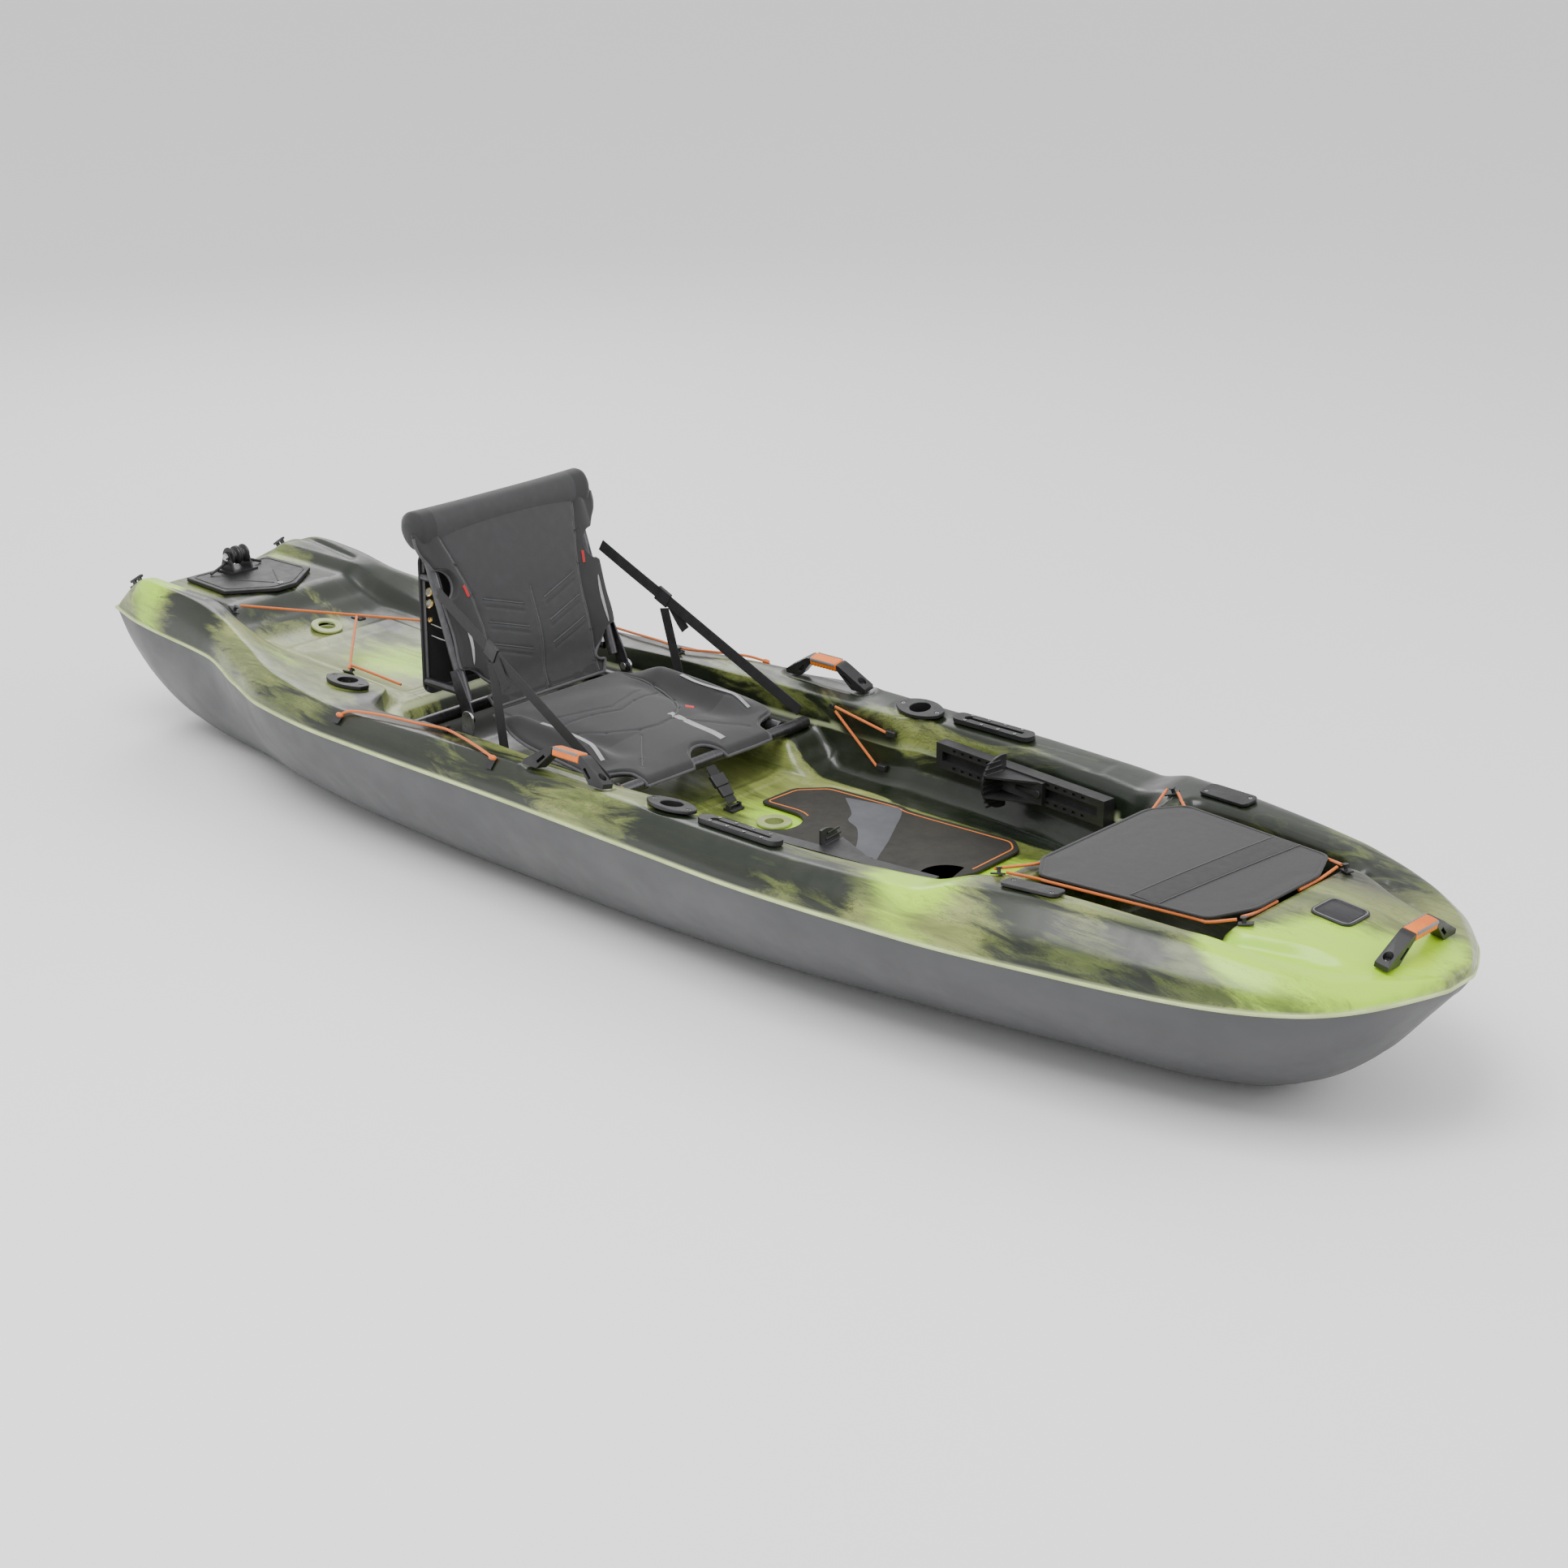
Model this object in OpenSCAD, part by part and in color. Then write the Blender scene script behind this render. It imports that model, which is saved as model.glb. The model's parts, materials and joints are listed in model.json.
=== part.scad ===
// Sit-on-top fishing kayak: a grey hull and a moulded deck joined at a seam, with a folding
// framed seat, sliding foot pedals, rod holders, gear tracks, carry handles, a covered bow well
// and a tank well laced with stretch cord.
// Frame: origin under the middle of the boat, +X to the bow, +Y to port, +Z up.

/* [Boat] */
// Length over all
hull_length = 3200; // [2700:10:3860]
// Beam over the seam at the widest station
beam = 864; // [740:2:1040]
// Height of the seam between hull and deck amidships
seam_height = 250; // [230:2:300]
// Thickness of the moulded hull and deck
wall = 5; // [4:0.5:6]

/* [Drains] */
// Bore of each scupper
scupper_bore = 36; // [28:1:44]
// Wall of a scupper tube
scupper_wall = 4; // [3:0.5:6]
// Bore of the drain socket in the stern
drain_bore = 26; // [20:1:32]

/* [Rod holders] */
// Bore of a flush rod holder
rod_bore = 42; // [35:1:48]
// Wall of the rod holder tube
rod_wall = 3; // [2:0.5:4]
// Depth of the tube under its flange
rod_depth = 125; // [80:5:140]

/* [Tracks and handles] */
// Length of a gear track
track_length = 190; // [160:5:230]
// Width of a gear track
track_width = 34; // [30:1:38]
// Distance between the two bolts of a side handle
handle_pitch = 164; // [150:2:180]
// Clear height under a handle grip
handle_reach = 34; // [28:1:42]
// Length of a foot track
foot_track_length = 430; // [380:5:460]
// Travel of a foot pedal each way from where it is set
pedal_travel = 110; // [60:5:120]

/* [Seat] */
// Outer diameter of the seat frame tube
tube_d = 25; // [19:1:28]
// Height of the backrest along its frame
back_height = 412; // [360:2:480]
// Lean of the backrest behind upright, in degrees
back_lean = 19.6; // [14:0.2:24]
// Diameter of each hinge pin
pin_d = 8; // [6:0.5:10]

/* [Stretch cord] */
// Diameter of the stretch cord
cord_d = 5; // [4:0.5:6]

/* [Hidden] */
$fn = 48;

// The lines plan is drawn for this length and beam and stretched to the real ones
plan_length = 3200;
plan_beam = 864;
plan_seam = 250;
kx = hull_length / plan_length;
ky = beam / plan_beam;
// How far the whole deck stands above the plan's
lift = seam_height - plan_seam;
// Gap between a fitting and the moulding under it
gap = 1;
// Running clearance on the radius of a pin in its bore
running = 0.05;
// Clearance on the radius of a hole cut in a moulding for a fitting
cut_clearance = 0.6;

// Outlines as distance along the boat and half breadth or height, at the plan size
SEAM_Y = [[-1600, 218], [-1480, 244], [-1230, 262], [-1080, 311], [-930, 365], [-690, 396],
    [-215, 407], [200, 424], [420, 432], [775, 414], [1078, 368], [1240, 336], [1348, 304],
    [1461, 246], [1535, 166], [1580, 86], [1600, 38]];
SEAM_Z = [[-1600, 283], [-1400, 271], [-1230, 262], [-1080, 248], [-800, 248], [0, 250],
    [900, 252], [1300, 256], [1500, 263], [1600, 276]];
KEEL_Z = [[-1600, 100], [-1540, 46], [-1450, 14], [-1300, 0], [1150, 0], [1286, 12], [1379, 47],
    [1466, 111], [1547, 205], [1585, 250], [1600, 264]];
FLAT_Y = [[-1600, 66], [-1284, 100], [-1085, 128], [-720, 173], [-400, 198], [0, 203],
    [240, 190], [456, 162], [651, 124], [842, 88], [1026, 58], [1203, 36], [1300, 26],
    [1450, 18], [1600, 10]];
TUNNEL_Z = [[-1600, 0], [-1200, 0], [-900, 18], [600, 18], [950, 0], [1600, 0]];
CREST_Y = [[-1600, 190], [-1500, 222], [-1400, 236], [-1230, 238], [-1080, 274], [-930, 322],
    [-690, 352], [-400, 360], [-200, 370], [40, 386], [420, 388], [700, 368], [900, 326],
    [1075, 297], [1295, 262], [1400, 234], [1470, 196], [1530, 131], [1580, 66], [1600, 30]];
CREST_Z = [[-1600, 302], [-1560, 330], [-1500, 366], [-1440, 378], [-1330, 372], [-1200, 350],
    [-1080, 330], [-900, 308], [-690, 298], [-400, 308], [-150, 318], [40, 322], [420, 318],
    [760, 322], [850, 346], [1000, 352], [1240, 344], [1300, 336], [1400, 320], [1470, 308],
    [1600, 298]];
EDGE_Y = [[-1600, 150], [-1520, 184], [-1290, 197], [-1080, 205], [-930, 196], [-800, 188],
    [-740, 196], [-680, 280], [-600, 300], [-400, 300], [-200, 306], [-130, 312], [0, 312],
    [170, 308], [235, 334], [480, 328], [650, 308], [760, 288], [850, 268], [1020, 256],
    [1240, 234], [1300, 226], [1400, 200], [1470, 160], [1530, 104], [1580, 50], [1600, 24]];
EDGE_Z = [[-1600, 300], [-1540, 340], [-1500, 362], [-1290, 360], [-1200, 334], [-1080, 306],
    [-930, 290], [-690, 286], [-600, 292], [-400, 302], [0, 306], [235, 312], [760, 315],
    [850, 338], [1000, 346], [1240, 340], [1300, 333], [1400, 317], [1470, 307], [1600, 297]];
WALL_Y = [[-1600, 120], [-1520, 150], [-1300, 158], [-1080, 186], [-930, 180], [-760, 174],
    [-690, 240], [-600, 290], [-200, 300], [0, 303], [170, 294], [235, 302], [480, 286],
    [650, 266], [760, 246], [850, 230], [900, 222], [1020, 216], [1240, 196], [1300, 190],
    [1340, 176], [1400, 152], [1470, 140], [1530, 92], [1580, 44], [1600, 20]];
WALL_Z = [[-1600, 298], [-1540, 327], [-1500, 339], [-1290, 336], [-1220, 306], [-1150, 284],
    [-930, 270], [-760, 262], [-690, 250], [-640, 238], [-600, 236], [-30, 236], [25, 182],
    [60, 168], [700, 168], [770, 206], [850, 312], [872, 330], [898, 330], [940, 202],
    [1225, 198], [1266, 300], [1290, 312], [1400, 304], [1470, 304], [1600, 296]];
LEDGE_Y = [[-1600, 90], [-1300, 126], [-1080, 150], [-760, 146], [-690, 200], [-600, 216],
    [0, 216], [60, 226], [480, 236], [650, 222], [760, 208], [900, 190], [1240, 168],
    [1300, 174], [1340, 160], [1400, 134], [1470, 118], [1530, 70], [1580, 34], [1600, 15]];
LEDGE_Z = [[-1600, 298], [-1540, 327], [-1500, 339], [-1290, 337], [-1220, 304], [-1150, 277],
    [-930, 266], [-760, 258], [-690, 248], [-640, 237], [-600, 235], [-30, 235], [25, 180],
    [60, 166], [700, 166], [770, 204], [850, 312], [872, 330], [898, 330], [940, 196],
    [1225, 192], [1266, 318], [1290, 334], [1400, 325], [1470, 313], [1600, 295]];
FLOOR_Z = [[-1600, 298], [-1540, 327], [-1500, 339], [-1290, 338], [-1220, 304], [-1150, 275],
    [-930, 264], [-720, 256], [-650, 206], [-590, 174], [0, 168], [60, 165], [700, 165],
    [770, 202], [850, 312], [872, 331], [898, 331], [940, 194], [1225, 190], [1266, 320],
    [1290, 336], [1400, 328], [1470, 316], [1600, 294]];
STATIONS = [-1600, -1576, -1560, -1540, -1500, -1440, -1370, -1290, -1255, -1220, -1185, -1150,
    -1080, -1005, -930, -860, -790, -740, -705, -670, -640, -610, -560, -400, -200, -130, -30,
    0, 28, 60, 110, 170, 202, 235, 330, 480, 600, 700, 735, 770, 810, 850, 872, 898, 918, 940,
    1020, 1130, 1225, 1246, 1266, 1290, 1340, 1400, 1436, 1470, 1502, 1530, 1556, 1580, 1594,
    1600];

// ---------- curves and surfaces ----------

// Index of the stretch of curve c that holds x
function stretch(c, x) = let (below = [for (i = [0 : len(c) - 2]) if (c[i][0] <= x) i])
    len(below) == 0 ? 0 : below[len(below) - 1];
function slope(c, i) = (c[i + 1][1] - c[i][1]) / (c[i + 1][0] - c[i][0]);
// Slope at point i: the harmonic mean of its neighbours', or level at a turning point
function tangent(c, i) = i == 0 ? slope(c, 0) : i == len(c) - 1 ? slope(c, i - 1)
    : let (a = slope(c, i - 1), b = slope(c, i)) a * b <= 0 ? 0 : 2 * a * b / (a + b);
// Height of curve c over x, on a smooth line that never swings past its points
function at(c, x) = let (
        i = stretch(c, x),
        h = c[i + 1][0] - c[i][0],
        t = min(1, max(0, (x - c[i][0]) / h)),
        t2 = t * t,
        t3 = t2 * t)
    (2 * t3 - 3 * t2 + 1) * c[i][1] + (t3 - 2 * t2 + t) * h * tangent(c, i)
    + (3 * t2 - 2 * t3) * c[i + 1][1] + (t3 - t2) * h * tangent(c, i + 1);

// Half section of the deck at plan station x, from the seam in to the middle
function deck_half(x) = let (
        s = at(SEAM_Y, x), zs = at(SEAM_Z, x), c = at(CREST_Y, x), zc = at(CREST_Z, x),
        e = at(EDGE_Y, x), ze = at(EDGE_Z, x), w = at(WALL_Y, x), zw = at(WALL_Z, x),
        l = at(LEDGE_Y, x), zl = at(LEDGE_Z, x), zf = at(FLOOR_Z, x),
        half = [[s, zs], [s - 0.12 * (s - c), zs + 0.45 * (zc - zs)],
            [c + 0.3 * (s - c), zs + 0.86 * (zc - zs)], [c, zc], [e, ze],
            [e - 0.3 * (e - w), ze - 0.12 * (ze - zw)], [w, zw], [l, zl], [l * 0.93, zf],
            [0, zf]])
    [for (p = half) [p[0], p[1] + lift]];
// Height of the deck over plan point (x, y)
function deck_z(x, y) = lookup(abs(y), deck_half(x));
// Plan half breadth of the inner wall at plan station x and height z
function wall_y(x, z) = let (h = deck_half(x), a = h[6], b = h[5])
    a[0] + (b[0] - a[0]) * (z - a[1]) / (b[1] - a[1]);

// Half section of the hull at plan station x, from the seam down to the keel
function hull_half(x) = let (
        s = at(SEAM_Y, x), zs = at(SEAM_Z, x) + lift, b = at(FLAT_Y, x), zk = at(KEEL_Z, x),
        arch = at(TUNNEL_Z, x), dy = s - b, dz = zs - zk)
    concat([for (t = [1, 0.84, 0.67, 0.5, 0.33, 0.16, 0]) let (u = 1 - t)
        [u * u * u * b + 3 * u * u * t * (b + 0.4 * dy) + 3 * u * t * t * (s - 0.13 * dy)
            + t * t * t * s,
         u * u * u * zk + 3 * u * u * t * (zk + 0.06 * dz) + 3 * u * t * t * (zs - 0.5 * dz)
            + t * t * t * zs]],
        [[0.82 * b, zk], [0.5 * b, zk + arch], [0.16 * b, zk], [0, zk]]);

last = len(STATIONS) - 1;
// Whole sections, port to starboard. The first and the last are level rows along the seam.
function sections(halves) = [for (i = [0 : last]) let (
        half = halves[i],
        n = len(half),
        end = i == 0 || i == last,
        row = [for (k = [0 : n - 1]) let (p = half[k]) [STATIONS[i] * kx,
            (end ? half[0][0] * (1 - k / (n - 1)) : p[0]) * ky, end ? half[0][1] : p[1]]])
    concat(row, [for (k = [n - 2 : -1 : 0]) [row[k][0], -row[k][1], row[k][2]]])];
DECK = sections([for (x = STATIONS) deck_half(x)]);
HULL = sections([for (x = STATIONS) hull_half(x)]);

function unit(v) = v / norm(v);
// Point (i, j) of grid g moved t along its normal, or straight inwards where it is on the rim
function inset(g, i, j, t) = let (
        n = len(g) - 1,
        m = len(g[0]) - 1,
        p = g[i][j],
        across = cross(g[min(n, i + 1)][j] - g[max(0, i - 1)][j],
                       g[i][min(m, j + 1)] - g[i][max(0, j - 1)]),
        y_in = p[1] - wall * sign(p[1]))
    i == 0 || i == n ? [p[0] + (i == 0 ? wall : -wall), p[1] * (1 - wall / g[i][0][1]), p[2]]
    : j == 0 || j == m ? [p[0], y_in, p[2]]
    : p + t * unit(across);

// A thin closed shell: grid g, the same grid set in by t, and the rim that joins them
module shell(g, t) {
    n = len(g);
    m = len(g[0]);
    outer = [for (r = g) each r];
    inner = [for (i = [0 : n - 1]) for (j = [0 : m - 1]) inset(g, i, j, t)];
    half = n * m;
    // Each square is cut in two by a diagonal that mirrors about the middle line
    skin = [for (i = [0 : n - 2]) for (j = [0 : m - 2]) let (a = i * m + j)
        each j < (m - 1) / 2 ? [[a, a + m, a + m + 1], [a, a + m + 1, a + 1]]
            : [[a, a + m, a + 1], [a + 1, a + m, a + m + 1]]];
    rim = concat([for (i = [0 : n - 1]) i * m], [for (j = [1 : m - 1]) (n - 1) * m + j],
        [for (i = [n - 2 : -1 : 0]) i * m + m - 1], [for (j = [m - 2 : -1 : 1]) j]);
    turns = len(rim);
    edge = [for (k = [0 : turns - 1]) let (a = rim[k], b = rim[(k + 1) % turns])
        each [[b, a, a + half], [b, a + half, b + half]]];
    lining = [for (f = skin) [f[2] + half, f[1] + half, f[0] + half]];
    faces = concat(skin, lining, edge);
    polyhedron(concat(outer, inner), t > 0 ? faces : [for (f = faces) [f[2], f[1], f[0]]]);
}

// Passes its children through as one mesh
module as_mesh() resize([0, 0, 0]) children();

// ---------- placing fittings ----------

module at_plan(x, y, z) translate([x * kx, y * ky, z]) children();
// Tilts children to the deck under plan point (x, y) and rests them clear of the highest point
// under their length l and width w
module on_deck(x, y, l, w) {
    px = l / 2 / kx;
    py = w / 2 / ky;
    gx = (deck_z(x + px, y) - deck_z(x - px, y)) / l;
    gy = (deck_z(x, y + py) - deck_z(x, y - py)) / w;
    z0 = deck_z(x, y);
    rise = max([for (i = [-1 : 0.25 : 1]) for (j = [-1 : 0.25 : 1])
        deck_z(x + i * px, y + j * py) - z0 - gx * i * l / 2 - gy * j * w / 2]);
    at_plan(x, y, z0 + rise + gap) rotate([atan(gy), 0, 0]) rotate([0, -atan(gx), 0]) children();
}
module both_sides() {
    children();
    mirror([0, 1, 0]) children();
}
// A flat bar with round ends, l long over the ends and w wide
module stadium(l, w, h) {
    translate([-(l - w) / 2, -w / 2, 0]) cube([l - w, w, h]);
    for (s = [-1, 1]) translate([s * (l - w) / 2, 0, 0]) cylinder(d = w, h = h);
}
module rounded_rect(l, w, r) {
    square([l - 2 * r, w], center = true);
    square([l, w - 2 * r], center = true);
    for (i = [-1, 1]) for (j = [-1, 1]) translate([i * (l / 2 - r), j * (w / 2 - r)]) circle(r);
}
module rounded_box(l, w, h, r) linear_extrude(h) rounded_rect(l, w, r);
// A block centred on X and Y, standing on Z
module block(l, w, h) translate([-l / 2, -w / 2, 0]) cube([l, w, h]);
// A straight round bar from a to b
module rod(a, b, d) {
    v = b - a;
    translate(a) rotate([0, acos(v[2] / norm(v)), atan2(v[1], v[0])]) cylinder(d = d, h = norm(v));
}
// A flat strap from a to b, w wide along side and t thick
module strap(a, b, w, t, side) {
    v = unit(b - a);
    s = unit(side - v * (side * v));
    n = cross(v, s);
    pts = [for (p = [a, b]) for (i = [-1, 1]) for (j = [-1, 1]) p + s * (i * w / 2) + n * (j * t / 2)];
    polyhedron(pts, [[2, 3, 1, 0], [5, 7, 6, 4], [1, 5, 4, 0], [6, 7, 3, 2], [4, 6, 2, 0],
        [3, 7, 5, 1]]);
}
// Rings of k sides carried along the points of path, as one closed cord
module cord(path, k = 8) {
    n = len(path);
    pts = [for (i = [0 : n - 1]) let (
            v = unit(path[min(n - 1, i + 1)] - path[max(0, i - 1)]),
            u = unit(cross(v, abs(v[2]) > 0.9 ? [1, 0, 0] : [0, 0, 1])),
            w = cross(v, u))
        for (a = [0 : k - 1]) path[i] + cord_d / 2 * (u * cos(360 * a / k) + w * sin(360 * a / k))];
    sides = [for (i = [0 : n - 2]) for (a = [0 : k - 1]) let (b = (a + 1) % k)
        each [[i * k + a, i * k + k + b, i * k + b], [i * k + a, i * k + k + a, i * k + k + b]]];
    polyhedron(pts, concat(sides, [[for (a = [0 : k - 1]) a]],
        [[for (a = [k - 1 : -1 : 0]) (n - 1) * k + a]]));
}
// A plan point [x, y] as a real point standing above the deck
function over_deck(p, above) = [p[0] * kx, p[1] * ky, deck_z(p[0], p[1]) + above];
// A path of plan points laid along the deck, each leg cut in parts
function draped(path, above, parts) = concat([for (i = [0 : len(path) - 2])
    for (t = [0 : parts - 1]) over_deck(path[i] + (path[i + 1] - path[i]) * t / parts, above)],
    [over_deck(path[len(path) - 1], above)]);

// ---------- hull, deck and drains ----------

// Plan stations of the scuppers on the middle line
SCUPPERS = [-1150, 140, 560];
scupper_r = scupper_bore / 2 + scupper_wall;
rod_r = rod_bore / 2 + rod_wall;
// Rod holders as plan points on the port gunwale
ROD_FRONT = [208, 349];
ROD_REAR = [-801, 240];
// The drain sits square on the raked stern, halfway down
stern_rake = atan((STATIONS[1] - STATIONS[0]) * kx
    / (at(SEAM_Z, STATIONS[0]) + lift - at(KEEL_Z, STATIONS[1])));
drain_z = 150;
drain_x = -hull_length / 2 + (at(SEAM_Z, STATIONS[0]) + lift - drain_z) * tan(stern_rake);
drain_r = drain_bore / 2 + 3;

module rod_frame(p) on_deck(p[0], p[1], 100, 50) children();
module drain_frame() translate([drain_x, 0, drain_z]) rotate([0, 90 - stern_rake, 0]) children();

module hull_shell() color("dimgray") as_mesh() difference() {
    shell(HULL, -wall);
    for (x = SCUPPERS) at_plan(x, 0, -20) cylinder(r = scupper_r + cut_clearance, h = 60);
    drain_frame() translate([0, 0, -20]) cylinder(r = drain_r + cut_clearance, h = 60);
}
module deck_shell() color("yellowgreen") as_mesh() difference() {
    shell(DECK, wall);
    for (x = SCUPPERS) at_plan(x, 0, deck_z(x, 0) - 40)
        cylinder(r = scupper_r + cut_clearance, h = 60);
    both_sides() for (p = [ROD_FRONT, ROD_REAR])
        rod_frame(p) translate([0, 0, -60]) cylinder(r = rod_r + cut_clearance, h = 70);
}
// Foam blocks between hull and deck: plan station, length, breadth and height of each
FOAM = [[1080, 220, 90, 110], [-900, 220, 140, 110], [-1400, 180, 110, 170]];
foam_z = 60;
module foam_stringers() color("white") for (f = FOAM) at_plan(f[0], 0, foam_z)
    block(f[1], f[2], f[3]);

ring_h = 5;
ring_r = scupper_r + 12;
module scupper_tubes() color("darkkhaki") for (x = SCUPPERS) difference() {
    union() {
        at_plan(x, 0, gap) cylinder(r = scupper_r, h = deck_z(x, 0) + ring_h / 2);
        on_deck(x, 0, 2 * ring_r, 2 * ring_r) cylinder(r = ring_r, h = ring_h);
    }
    at_plan(x, 0, -10) cylinder(d = scupper_bore, h = deck_z(x, 0) + 30);
}
drain_depth = 26;
socket_lip = 2.5;
module drain_socket() color("black") drain_frame() difference() {
    union() {
        translate([0, 0, -socket_lip - gap]) cylinder(r = drain_r + 8, h = socket_lip);
        translate([0, 0, -gap - 1]) cylinder(r = drain_r, h = drain_depth);
    }
    translate([0, 0, -10]) cylinder(d = drain_bore, h = drain_depth + 5);
}
module drain_plug() color("darkslategray") drain_frame() {
    translate([0, 0, -socket_lip - gap - 1]) cylinder(d = drain_bore - 2 * running, h = 20);
    translate([0, 0, -socket_lip - gap - 5.5]) difference() {
        cylinder(r = drain_r + 3, h = 5);
        translate([-3, -drain_r - 6, -1]) cube([6, 2 * drain_r + 12, 3]);
    }
}

// ---------- fittings on the gunwales ----------

flange_l = 106;
flange_w = 68;
flange_h = 7;
flange_screw = 42;
// An almond outline cut from two arcs, with its tips blunted to the length l
module almond(l, w, h) {
    tip = l + 14;
    r = (tip * tip / 4 + w * w / 4) / w;
    intersection() {
        translate([0, r - w / 2, 0]) cylinder(r = r, h = h, $fn = 96);
        translate([0, w / 2 - r, 0]) cylinder(r = r, h = h, $fn = 96);
        cylinder(d = l, h = h, $fn = 96);
    }
}
module rod_holder(p) color("#1c1c1e") rod_frame(p) difference() {
    union() {
        almond(flange_l, flange_w, flange_h);
        translate([0, 0, -rod_depth]) cylinder(r = rod_r, h = rod_depth + 1);
    }
    translate([0, 0, 4 - rod_depth]) cylinder(d = rod_bore, h = rod_depth + 20);
    for (s = [-1, 1]) translate([s * flange_screw, 0, flange_h - 3]) cylinder(d = 9, h = 5);
}
module rod_holder_front_left() rod_holder(ROD_FRONT);
module rod_holder_front_right() mirror([0, 1, 0]) rod_holder_front_left();
module rod_holder_rear_left() rod_holder(ROD_REAR);
module rod_holder_rear_right() mirror([0, 1, 0]) rod_holder_rear_left();

track_h = 9;
slot_w = 8;
slot_under_w = 16;
slot_floor = 2.5;
slot_under_h = 3.5;
// A gear track starts a little ahead of the front rod holder
track_x = ROD_FRONT[0] + (flange_l / 2 + 26 + track_length / 2) / kx;
module track_frame() on_deck(track_x, 358, track_length, 30) children();
module gear_track_left() color("#202022") track_frame() difference() {
    start = -track_length / 2 + 34;
    stadium(track_length, track_width, track_h);
    translate([start, -slot_under_w / 2, slot_floor])
        cube([track_length - 58, slot_under_w, slot_under_h]);
    translate([start, -slot_w / 2, slot_floor]) cube([track_length - 58, slot_w, track_h]);
    translate([start, 0, slot_floor]) cylinder(d = slot_under_w, h = track_h);
}
module gear_track_right() mirror([0, 1, 0]) gear_track_left();

plate_l = 108;
plate_w = 42;
plate_h = 6;
module plate_frame() on_deck(965, 284, plate_l, plate_w) rotate([0, 0, -6]) children();
// Where the plate's screws stand, sunk below its face
plate_screw = [plate_l / 2 - 12, 10];
module accessory_plates() color("#1c1c1e") both_sides() plate_frame() difference() {
    rounded_box(plate_l, plate_w, plate_h, 12);
    for (s = [-1, 1]) translate([s * plate_screw[0], s * plate_screw[1], plate_h - 2.6])
        cylinder(d = 9, h = 5);
}

handle_w = 26;
bar_w = 20;
bar_h = 13;
grip_l = 70;
foot_h = 9;
toe = 22;
handle_half = handle_pitch / 2 + toe;
handle_top = handle_reach + bar_h;
module handle_profile() {
    out = grip_l / 2;
    difference() {
        polygon([[-handle_half, 0], [-handle_half, foot_h], [-out - 14, handle_top - 4],
            [-out - 6, handle_top], [out + 6, handle_top], [out + 14, handle_top - 4],
            [handle_half, foot_h], [handle_half, 0], [handle_half - 36, 0],
            [out + 1, handle_reach], [-out - 1, handle_reach], [36 - handle_half, 0]]);
        // A long hole through each raked leg
        for (s = [-1, 1]) polygon([[s * (out + 36), 13], [s * (out + 31), 9.5],
            [s * (out + 14), 25], [s * (out + 19), 29]]);
    }
}
module handle_bar() difference() {
    translate([0, handle_w / 2, 0]) rotate([90, 0, 0]) linear_extrude(handle_w) handle_profile();
    for (s = [-1, 1]) {
        // The bar is slimmer where the grip sits
        translate([-grip_l / 2, s > 0 ? bar_w / 2 : -bar_w / 2 - 20, handle_reach - 1])
            cube([grip_l, 20, bar_h + 2]);
        translate([s * (handle_half - toe + 6), 0, -1]) cylinder(d = 7, h = 40);
        translate([s * (handle_half - toe + 6), 0, foot_h]) cylinder(d = 16, h = 40);
    }
}
module grip() difference() {
    translate([0, 0, handle_reach - 3]) block(grip_l - 0.8, handle_w + 2, bar_h + 6);
    translate([0, 0, handle_reach - 0.2]) block(grip_l, bar_w + 0.4, bar_h + 0.4);
}
module side_handle_frame() on_deck(-40, 366, 2 * handle_half, handle_w) children();
module side_handle_left() color("#1a1a1c") side_handle_frame() handle_bar();
module side_handle_right() mirror([0, 1, 0]) side_handle_left();
module side_grips() color("darkorange") both_sides() side_handle_frame() grip();
module bow_handle_frame() on_deck(1514, 0, handle_w, 2 * handle_half) rotate([0, 0, 90])
    children();
module bow_handle() color("#1a1a1c") bow_handle_frame() handle_bar();
module bow_grip() color("darkorange") bow_handle_frame() grip();

badge_l = 78;
module bow_badge() color("#2a2a2c") on_deck(1374, 0, badge_l, badge_l) difference() {
    rounded_box(badge_l, badge_l, 5, 16);
    translate([0, 0, 3]) rounded_box(badge_l - 12, badge_l - 12, 3, 12);
}

// ---------- stretch cord and its hooks ----------

hook_l = 26;
hook_w = 14;
// Height of a cord's middle over the deck at a hook
hook_up = 8;
module hook() {
    block(hook_l, hook_w, 3);
    translate([3, 0, 0]) cylinder(d = 7, h = hook_up + cord_d);
    translate([3, 0, hook_up + cord_d - 2]) cylinder(d = 12, h = 2);
}
module deck_hook(p, turn) on_deck(p[0], p[1], hook_l, hook_w) rotate([0, 0, turn]) hook();
HOOK_REAR = [868, 252];
HOOK_FRONT = [1292, 150];
module bow_hooks() color("#161618") both_sides() {
    deck_hook(HOOK_REAR, 20);
    deck_hook(HOOK_FRONT, 150);
}

// The cover is a stiffened cloth panel over the bow well: its port half as plan points
COVER = [[884, 150], [926, 212], [1236, 178], [1272, 92]];
cover_z = lift + 338.5;
cover_t = 5;
module bow_cover() color("#3a3a3c") translate([0, 0, cover_z]) linear_extrude(cover_t)
    polygon([for (s = [1, -1]) for (k = [0 : 3]) let (p = COVER[s > 0 ? k : 3 - k])
        [p[0] * kx, s * p[1] * ky]]);
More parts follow.
